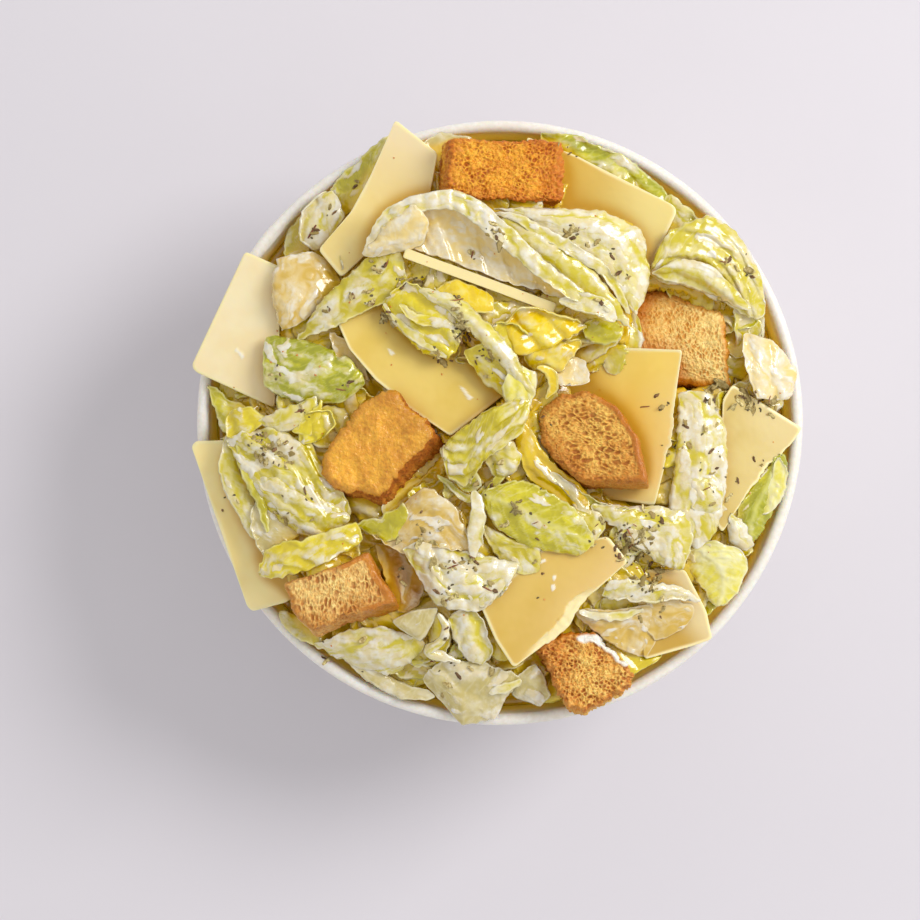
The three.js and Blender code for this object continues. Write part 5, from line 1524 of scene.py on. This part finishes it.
# %% [markdown]
# ## Loose leaves in the gaps and along the wall
# Now that the toppings are in place, the gaps between all these pieces show the bare core,
# and so does the heap's edge, seen from the side. Small loose leaves fill both. In the gaps
# they are strewn on a sunflower spiral, which spaces them evenly without lining them up.
# They come from the same recipe, coarser, and are joined by finish. Each is lowered until
# it passes below whatever already lies over it.


# %% What lies over a place
RAY_START = 120


def ground_of(pieces):
    """A search tree over the faces of these pieces, for rays."""
    places, sides, offset = [], [], 0
    for piece in pieces:
        piece.data.calc_loop_triangles()
        corners = np.empty(len(piece.data.loop_triangles) * 3, np.int32)
        piece.data.loop_triangles.foreach_get("vertices", corners)
        places.append(points_of(piece))
        sides.append(corners.reshape(-1, 3) + offset)
        offset += len(piece.data.vertices)
    return BVHTree.FromPolygons(np.vstack(places).tolist(), np.vstack(sides).tolist(), all_triangles=True)


def land(ground, x, y):
    """Where a ray straight down first meets the ground, and the normal there."""
    hit, normal, _, _ = ground.ray_cast(Vector((x, y, RAY_START)), Vector((0, 0, -1)))
    return (np.array(hit), np.array(normal)) if hit else (None, None)


# %% Loose leaves
GOLDEN_TURN = math.pi * (3 - math.sqrt(5))
HEAP_REACH = 67.0
GAP_TRIES = 2200
FLANK_RINGS = (56.0, 62.5)
FLANK_COUNT = 44
LOOSE_SIZE = (4.5, 8)
LOOSE_REACH = 70
LOOSE_SPACING = 0.7
RAIL_POINTS = 24
CLEAR_BELOW = 2.0
MOST_DROP = 7.0
DROP_PER_LEAN = 30


def gap_places(cover):
    """Places on a sunflower spiral where a ray from above meets nothing of the cover."""
    number = np.arange(GAP_TRIES)
    away = HEAP_REACH * np.sqrt((number + 0.5) / GAP_TRIES)
    spots = np.stack([away * np.cos(number * GOLDEN_TURN), away * np.sin(number * GOLDEN_TURN)], -1)
    return [spot for spot in spots if land(cover, *spot)[0] is None]


def flank_places(cover):
    """Places on rings near the wall that are covered: there leaves show from the side only."""
    turns = np.arange(FLANK_COUNT) / FLANK_COUNT * 2 * math.pi
    spots = [(r * math.cos(t + r), r * math.sin(t + r)) for r in FLANK_RINGS for t in turns]
    return [np.array(spot) for spot in spots if land(cover, *spot)[0] is not None]


def loose_outline(middle, size, turn, random):
    """Two rails of a pointed oval about its place, bent to one side by chance."""
    along = np.linspace(-1, 1, RAIL_POINTS)
    bend = random.uniform(-0.4, 0.4) * size * along**2
    wide = random.uniform(0.45, 0.8) * size * np.sqrt(1 - along**2 * 0.999)
    wide = wide * (1 + 0.3 * random.uniform(-1, 1) * along)
    way = np.array([math.cos(turn), math.sin(turn)])
    across = np.array([-math.sin(turn), math.cos(turn)])
    ridge = middle + (size * along)[:, None] * way
    rails = [ridge + (side + bend)[:, None] * across for side in (wide, -wide)]
    return [rail * np.minimum(1, LOOSE_REACH / np.linalg.norm(rail, axis=1))[:, None] for rail in rails]


def loose_leaf(cover, middle, above, lean, random, seed):
    """One small leaf at the heap's height, tilted by chance and leaning outwards, then
    lowered as a whole until it passes below the upper face of all that covers it, but by no
    more than a limit, which grows with the lean."""
    rails = loose_outline(middle, random.uniform(*LOOSE_SIZE), random.uniform(0, 2 * math.pi), random)
    tilt = random.uniform(-0.3, 0.3, 2) - lean * middle / np.linalg.norm(middle)
    base = float(heap_height(*middle[:, None])[0]) + random.uniform(*above)
    heights = [base + (rail - middle) @ tilt for rail in rails]
    drop = 0.0
    for rail, height in zip(rails, heights):
        for k in range(1, RAIL_POINTS, 2):
            hit, _ = land(cover, *rail[k])
            if hit is not None:
                drop = max(drop, height[k] + CLEAR_BELOW - hit[2])
    drop = min(drop, MOST_DROP + DROP_PER_LEAN * lean)
    one, other = (np.column_stack([rail, height - drop]) for rail, height in zip(rails, heights))
    other[[0, -1]] = one[[0, -1]]
    fold = (random.uniform(2.5, 5), random.uniform(0.5, 1.3), random.uniform(0, 1))
    look = {"spacing": LOOSE_SPACING, "rise": random.uniform(-1, 1.4), "ruffle": 0.9,
            "cover": random.uniform(0.2, 0.7), "blister": 0.35, "folds": [fold],
            "heavy": random.uniform(0, 0.4)}
    return leaf_skin(one, other, look, seed)


def fill_gaps(name, cover, places, above, lean, finishes, seed):
    """Puts a loose leaf on every place, shared out in turn to pieces by finish."""
    random = np.random.default_rng(seed)
    skins = [loose_leaf(cover, place, above, lean, random, seed + 7 * i) for i, place in enumerate(places)]
    made = []
    for k, finish in enumerate(finishes):
        points, quads, caps, masks = joined(skins[k::len(finishes)])
        made.append(add_mesh(name + "_" + finish, points, quads, caps, LETTUCE[finish], masks))
    print(name, len(places), "leaves,", sum(len(ob.data.polygons) for ob in made), "faces")
    return made


TOPPINGS = [ob for ob in bpy.data.objects if ob.name.endswith(("_cut", "_bread"))]
COVER = ground_of(LEAVES + TOPPINGS)
fill_gaps("lower_leaves", COVER, gap_places(COVER), (0.2, 2.2), 0.0,
          ("fresh", "pale", "milky", "yellow"), 1)
fill_gaps("flank_leaves", COVER, flank_places(COVER), (-1.0, 1.0), 0.4, ("green", "pale", "milky"), 2)

# %% [markdown]
# ## Golden hollows, painted
# Between the leaves light goes from yellow leaf to yellow leaf, so hollows look golden and
# not grey. Here that light is painted: a golden painted shade is mixed into the colours. A
# map of the salad's top, one ray to each millimetre, is blurred. How far a point inside the
# wall lies below that blurred top is its painted-shade mask.

# %% The salad's top
GROUND = ground_of([ob for ob in bpy.data.objects
                    if ob.type == "MESH" and ob.data.materials and not ob.hide_render])
MAP_REACH = 80


def top_map(times):
    """Heights of the top on a square grid of 1 mm, each replaced by the mean of its three
    neighbours along both axes, this many times."""
    side = range(-MAP_REACH, MAP_REACH + 1)
    hits = [[land(GROUND, x, y)[0] for y in side] for x in side]
    heights = np.array([[WALL_LINE if hit is None else hit[2] for hit in row] for row in hits])
    for _ in range(times):
        for axis in (0, 1):
            heights = (np.roll(heights, 1, axis) + heights + np.roll(heights, -1, axis)) / 3
    return heights


# %% Hollow masks
PAINTED_SHADE_BLUR = 12
PAINTED_SHADE_DEPTH = (0.1, 3.8)
PAINTED_SHADE_SHARE = 0.85


def mark_painted_shade(pieces, heights):
    """Gives each vertex its painted-shade mask: its depth below the map, which is read between its four
    corners.
    """
    for piece in pieces:
        places = points_of(piece)
        spot = np.clip(places[:, :2] + MAP_REACH, 0, 2 * MAP_REACH - 1.001)
        cell = spot.astype(int)
        (right, up), (i, j) = (spot - cell).T, cell.T
        low = heights[i, j] * (1 - right) + heights[i + 1, j] * right
        high = heights[i, j + 1] * (1 - right) + heights[i + 1, j + 1] * right
        within = np.linalg.norm(places[:, :2], axis=1) < wall_inside(places[:, 2]) + PAPER / 2
        depth = (low * (1 - up) + high * up - places[:, 2]) * within
        # The mask of the painted golden shade, stored on each vertex.
        layer = piece.data.attributes.new("hollow", "FLOAT", "POINT")
        layer.data.foreach_set("value", (PAINTED_SHADE_SHARE * ease(*PAINTED_SHADE_DEPTH, depth)).astype(np.float32))


DRESSED = [ob for ob in bpy.data.objects if ob.type == "MESH" and ob.data.attributes.get("veil")]
mark_painted_shade(DRESSED + TOPPINGS + [bpy.data.objects["paper_bowl"]], top_map(PAINTED_SHADE_BLUR))
print("hollow masks on", len(DRESSED) + len(TOPPINGS) + 1, "pieces")

# %% [markdown]
# ## Herbs
# Dried oregano and basil come as crushed flakes: curled bits of grey-green leaf, darker
# crumbs, and thin red-brown stalks. There are hundreds, so each has only a few dozen
# faces and all of one kind are joined. A ray straight down finds what each flake lands on,
# and the flake lies along the surface there.

# %% Herb finish
def herb_finish(name, light, deep):
    """Each flake has its own share of two colours, with a fine mottle."""
    material, tree, shader, place = new_finish(name, 0.62)
    own = blend_colours(tree, mask_of(tree, "tone"), light, deep)
    mottled = blotches(tree, place, 1400.0, own, deep)
    tree.links.new(mottled["Colour"], shader.inputs["Base Color"])
    bump(tree, shader, mottled["Mask"], 0.5, 0.0002)
    return material


# %% Herb flakes
HERB_CLUSTERS = [
    [32, -29.5, 5, 26], [36, -24, 3.5, 6], [36, -38, 4, 12], [24, -27, 4, 4], [52, 6, 2.5, 8],
    [61, 5.7, 3, 10], [66, 3.8, 3, 5], [63.4, -9.2, 1.5, 1], [46, -6, 9, 12], [54, -16, 5, 4],
    [-19.8, 34.4, 1.6, 7], [-24, 34, 1.6, 4], [-29.6, 38.2, 2, 4], [-31.9, 30.4, 1.8, 4], [-42, 27.2, 1, 1],
    [-36, 31, 1, 1], [-27, 25.4, 2, 6], [-13.6, 16.8, 3, 6], [-11, 28.6, 2, 4], [-10, 22, 2.8, 13],
    [-3, 15, 4, 7], [-6.9, 40.3, 1, 1], [-2, 46, 2, 5], [24, 29, 1, 1], [17.3, 46.3, 2, 4], [25, 42, 4, 3],
    [30, 36, 2, 1], [55.4, 39, 1, 1], [58, 36, 7, 3], [-54.7, 12, 2, 2], [-38, 9, 2, 1], [-59, -5, 3, 8],
    [-54, -9, 5, 12], [-48, 2.7, 2, 2], [-66, -20, 3, 2], [-50, -22, 6, 5], [-12.4, -35, 2, 4],
    [-7.8, -34, 2, 7], [-13, -42, 3, 6], [-3, -39.6, 2, 1], [-25, -37, 3, 3], [-20, -26, 6, 4],
    [-46.3, 47, 1.5, 2], [-41.6, 52, 1.5, 2], [-35.6, 58.7, 1, 1], [7, -22, 7, 4], [-4, -12, 6, 5],
    [-9, -64, 8, 5], [36, -43, 6, 4], [-38, -56, 7, 3], [10, -2, 4, 3], [38, 4, 3, 2], [14, 66, 5, 2],
    [10, -38, 6, 1], [-13, -55, 5, 3],
]


LOWEST_HERB = BOWL_HEIGHT - 4
FLAKE_RINGS = 4
FLAKE_SPOKES = 8


def strew(clusters, random):
    """Places and normals on the salad: each cluster draws its count at random angles, with
    the distance as the square root of chance, so that its disc fills evenly. What falls
    past the salad, lower than any herb may lie, is left out."""
    spots = []
    for x, y, spread, count in clusters:
        turn = random.uniform(0, 2 * math.pi, count)
        away = spread * np.sqrt(random.uniform(0, 1, count))
        spots += [land(GROUND, x + a * math.cos(t), y + a * math.sin(t)) for a, t in zip(away, turn)]
    kept = [spot for spot in spots if spot[0] is not None and spot[0][2] > LOWEST_HERB]
    return np.array([place for place, _ in kept]), np.array([normal for _, normal in kept])


def flake_shape(count, length, width, height, curl, random):
    """Rings of a small curled flake for each place: an outline that narrows to both ends,
    ragged by chance, bent along its length and arched across."""
    v = np.linspace(0.12, 0.88, FLAKE_RINGS)[None, :, None]
    a = (np.arange(FLAKE_SPOKES) / FLAKE_SPOKES * 2 * math.pi)[None, None, :]
    ragged = 1 + 0.45 * random.uniform(-1, 1, (count, FLAKE_RINGS, FLAKE_SPOKES))
    scale = random.uniform(0.55, 1.35, (count, 1, 1))
    x = length * scale * (v - 0.5 + 0.1 * random.uniform(-1, 1, (count, FLAKE_RINGS, 1))) + 0 * a
    y = width / 2 * scale * np.sin(math.pi * v) ** 0.5 * np.cos(a) * ragged
    z = height / 2 * np.sin(a)
    z = z + curl * random.uniform(-0.4, 1, (count, 1, 1)) * (2 * np.abs(v - 0.5)) ** 2 * length / 3
    z = z + 0.5 * curl * np.abs(y) * random.uniform(-1, 1, (count, 1, 1))
    body = np.stack([x, y, z], -1).reshape(count, -1, 3)
    tips = np.zeros((count, 2, 3))
    tips[:, :, 0] = length * scale[:, :, 0] * np.array([-0.5, 0.5])
    tips[:, :, 2] = body[:, [0, -1], 2]
    return np.concatenate([tips[:, :1], body, tips[:, 1:]], axis=1)


def sprinkle(name, clusters, size, curl, tones, seed):
    """Joins one flake for each place, turned by chance and laid along the surface."""
    random = np.random.default_rng(seed)
    places, normals = strew(clusters, random)
    count = len(places)
    flakes = flake_shape(count, *size, curl, random)
    turn = random.uniform(0, 2 * math.pi, count)
    heading = np.stack([np.cos(turn), np.sin(turn), 0 * turn], -1)
    up = unit(normals + 0.25 * random.normal(size=(count, 3)))
    up = np.where(up[:, 2:] < 0.2, [0, 0, 1.0], up)
    ahead = unit(heading - up * (heading * up).sum(-1, keepdims=True))
    side = np.cross(up, ahead)
    axes = np.stack([ahead, side, up], 1)
    points = (places + up * 0.22 * size[2])[:, None] + flakes @ axes
    quads, caps = skin_faces(FLAKE_RINGS, FLAKE_SPOKES)
    each = flakes.shape[1]
    shift = (np.arange(count) * each)[:, None, None]
    masks = {"tone": np.repeat(random.uniform(0, 1, count), each)}
    quads, caps = (quads + shift).reshape(-1, 4), (caps + shift).reshape(-1, 3)
    made = add_mesh(name, points.reshape(-1, 3), quads, caps, herb_finish(name, *shades(tones)), masks)
    print(name, count, "flakes,", len(made.data.polygons), "faces")


def thinned(clusters, share):
    return [[x, y, spread, max(1, round(count * share))] for x, y, spread, count in clusters]


sprinkle("herb_leaf_flakes", thinned(HERB_CLUSTERS, 0.7), (2.4, 1.05, 0.2), 0.9,
         ((234, 218, 154), (160, 136, 74)), 5)
sprinkle("herb_dark_flakes", thinned(HERB_CLUSTERS, 0.25), (1.9, 0.75, 0.25), 0.6,
         ((162, 122, 74), (98, 70, 40)), 6)
LARGE_FLAKES = [
    [54, 9.5, 3, 3], [58, 5, 4, 4], [66, 4, 3, 2], [33, -30, 4, 4], [-17, -33, 4, 2], [-55, -9, 5, 3],
    [-20, 35, 2, 1], [-10, 24, 4, 2], [18, 45, 2, 1], [-2, 44, 3, 1], [-24, -30, 4, 2], [4, -21, 4, 2],
    [36, -38, 3, 2],
]
sprinkle("herb_large_flakes", LARGE_FLAKES, (3.9, 1.7, 0.22), 1.1, ((222, 206, 142), (150, 130, 74)), 11)
sprinkle("herb_stalks", thinned(HERB_CLUSTERS[::3], 0.2), (3.0, 0.35, 0.3), 0.25,
         ((176, 112, 70), (126, 70, 44)), 7)
sprinkle("spice_specks", [[0, 0, 70, 60]], (0.5, 0.35, 0.2), 0.1, ((232, 160, 80), (214, 130, 50)), 8)
sprinkle("herb_dust", thinned(HERB_CLUSTERS, 0.8), (0.8, 0.45, 0.2), 0.3, ((140, 126, 78), (86, 72, 42)), 9)

# %% [markdown]
# ## Table, light and camera
# The salad stands on a pale table, under one big soft light from the right and a little
# from behind, which throws a wide soft shadow to the left. White surroundings fill the
# shadows. The camera looks straight down from about 0.9 m above the rim.

# %% Table
def build_table():
    material, tree, shader, place = new_finish("table", 0.6)
    tone = blotches(tree, place, 6.0, colour(217, 213, 219), colour(215, 211, 217))
    tree.links.new(tone["Colour"], shader.inputs["Base Color"])
    half = 1.5
    corners = [(-half, -half, 0), (half, -half, 0), (half, half, 0), (-half, half, 0)]
    mesh = bpy.data.meshes.new("table")
    mesh.from_pydata(corners, [], [(0, 1, 2, 3)])
    mesh.materials.append(material)
    table = show(bpy.data.objects.new("table", mesh))


build_table()

# %% Light
KEY_FROM = Vector((0.84, 0.46, 1.0))
KEY_SIZE = 0.62
KEY_POWER = 11.0
FILL_STRENGTH = 0.72
LAMP_TARGET = (0, 0, 0.06)


def aim(ob, target):
    ob.rotation_euler = (Vector(target) - ob.location).to_track_quat("-Z", "Y").to_euler()


def add_area_light(name, place, size, power, tint):
    lamp = bpy.data.lights.new(name, "AREA")
    lamp.shape = "DISK"
    lamp.size = size
    lamp.energy = power
    lamp.color = tint
    ob = show(bpy.data.objects.new(name, lamp))
    ob.location = place
    aim(ob, LAMP_TARGET)


add_area_light("key_light", KEY_FROM, KEY_SIZE, KEY_POWER, (1.0, 0.988, 0.975))
world = bpy.data.worlds.new("white_room")
world.use_nodes = True
world.node_tree.nodes["Background"].inputs["Color"].default_value = (1.0, 0.99, 0.985, 1.0)
world.node_tree.nodes["Background"].inputs["Strength"].default_value = FILL_STRENGTH
bpy.context.scene.world = world
bpy.context.scene.view_settings.view_transform = "Standard"

# %% Camera
PICTURE_PIXELS = 920
MM_PER_PIXEL = 0.2475
AXIS_PIXEL = (500, 423)
CAMERA_RISE = 900.0


def add_camera():
    """Straight down, with the lens that makes the rim's plane as wide as the picture."""
    middle = PICTURE_PIXELS / 2
    x = (middle - AXIS_PIXEL[0]) * MM_PER_PIXEL
    y = (AXIS_PIXEL[1] - middle) * MM_PER_PIXEL
    data = bpy.data.cameras.new("camera")
    data.lens = data.sensor_width * CAMERA_RISE / (PICTURE_PIXELS * MM_PER_PIXEL)
    data.clip_start = 0.05
    camera = show(bpy.data.objects.new("camera", data))
    camera.location = (x * MM, y * MM, (BOWL_HEIGHT + CAMERA_RISE) * MM)
    bpy.context.scene.camera = camera
    print("lens:", round(data.lens, 1), "mm")


add_camera()
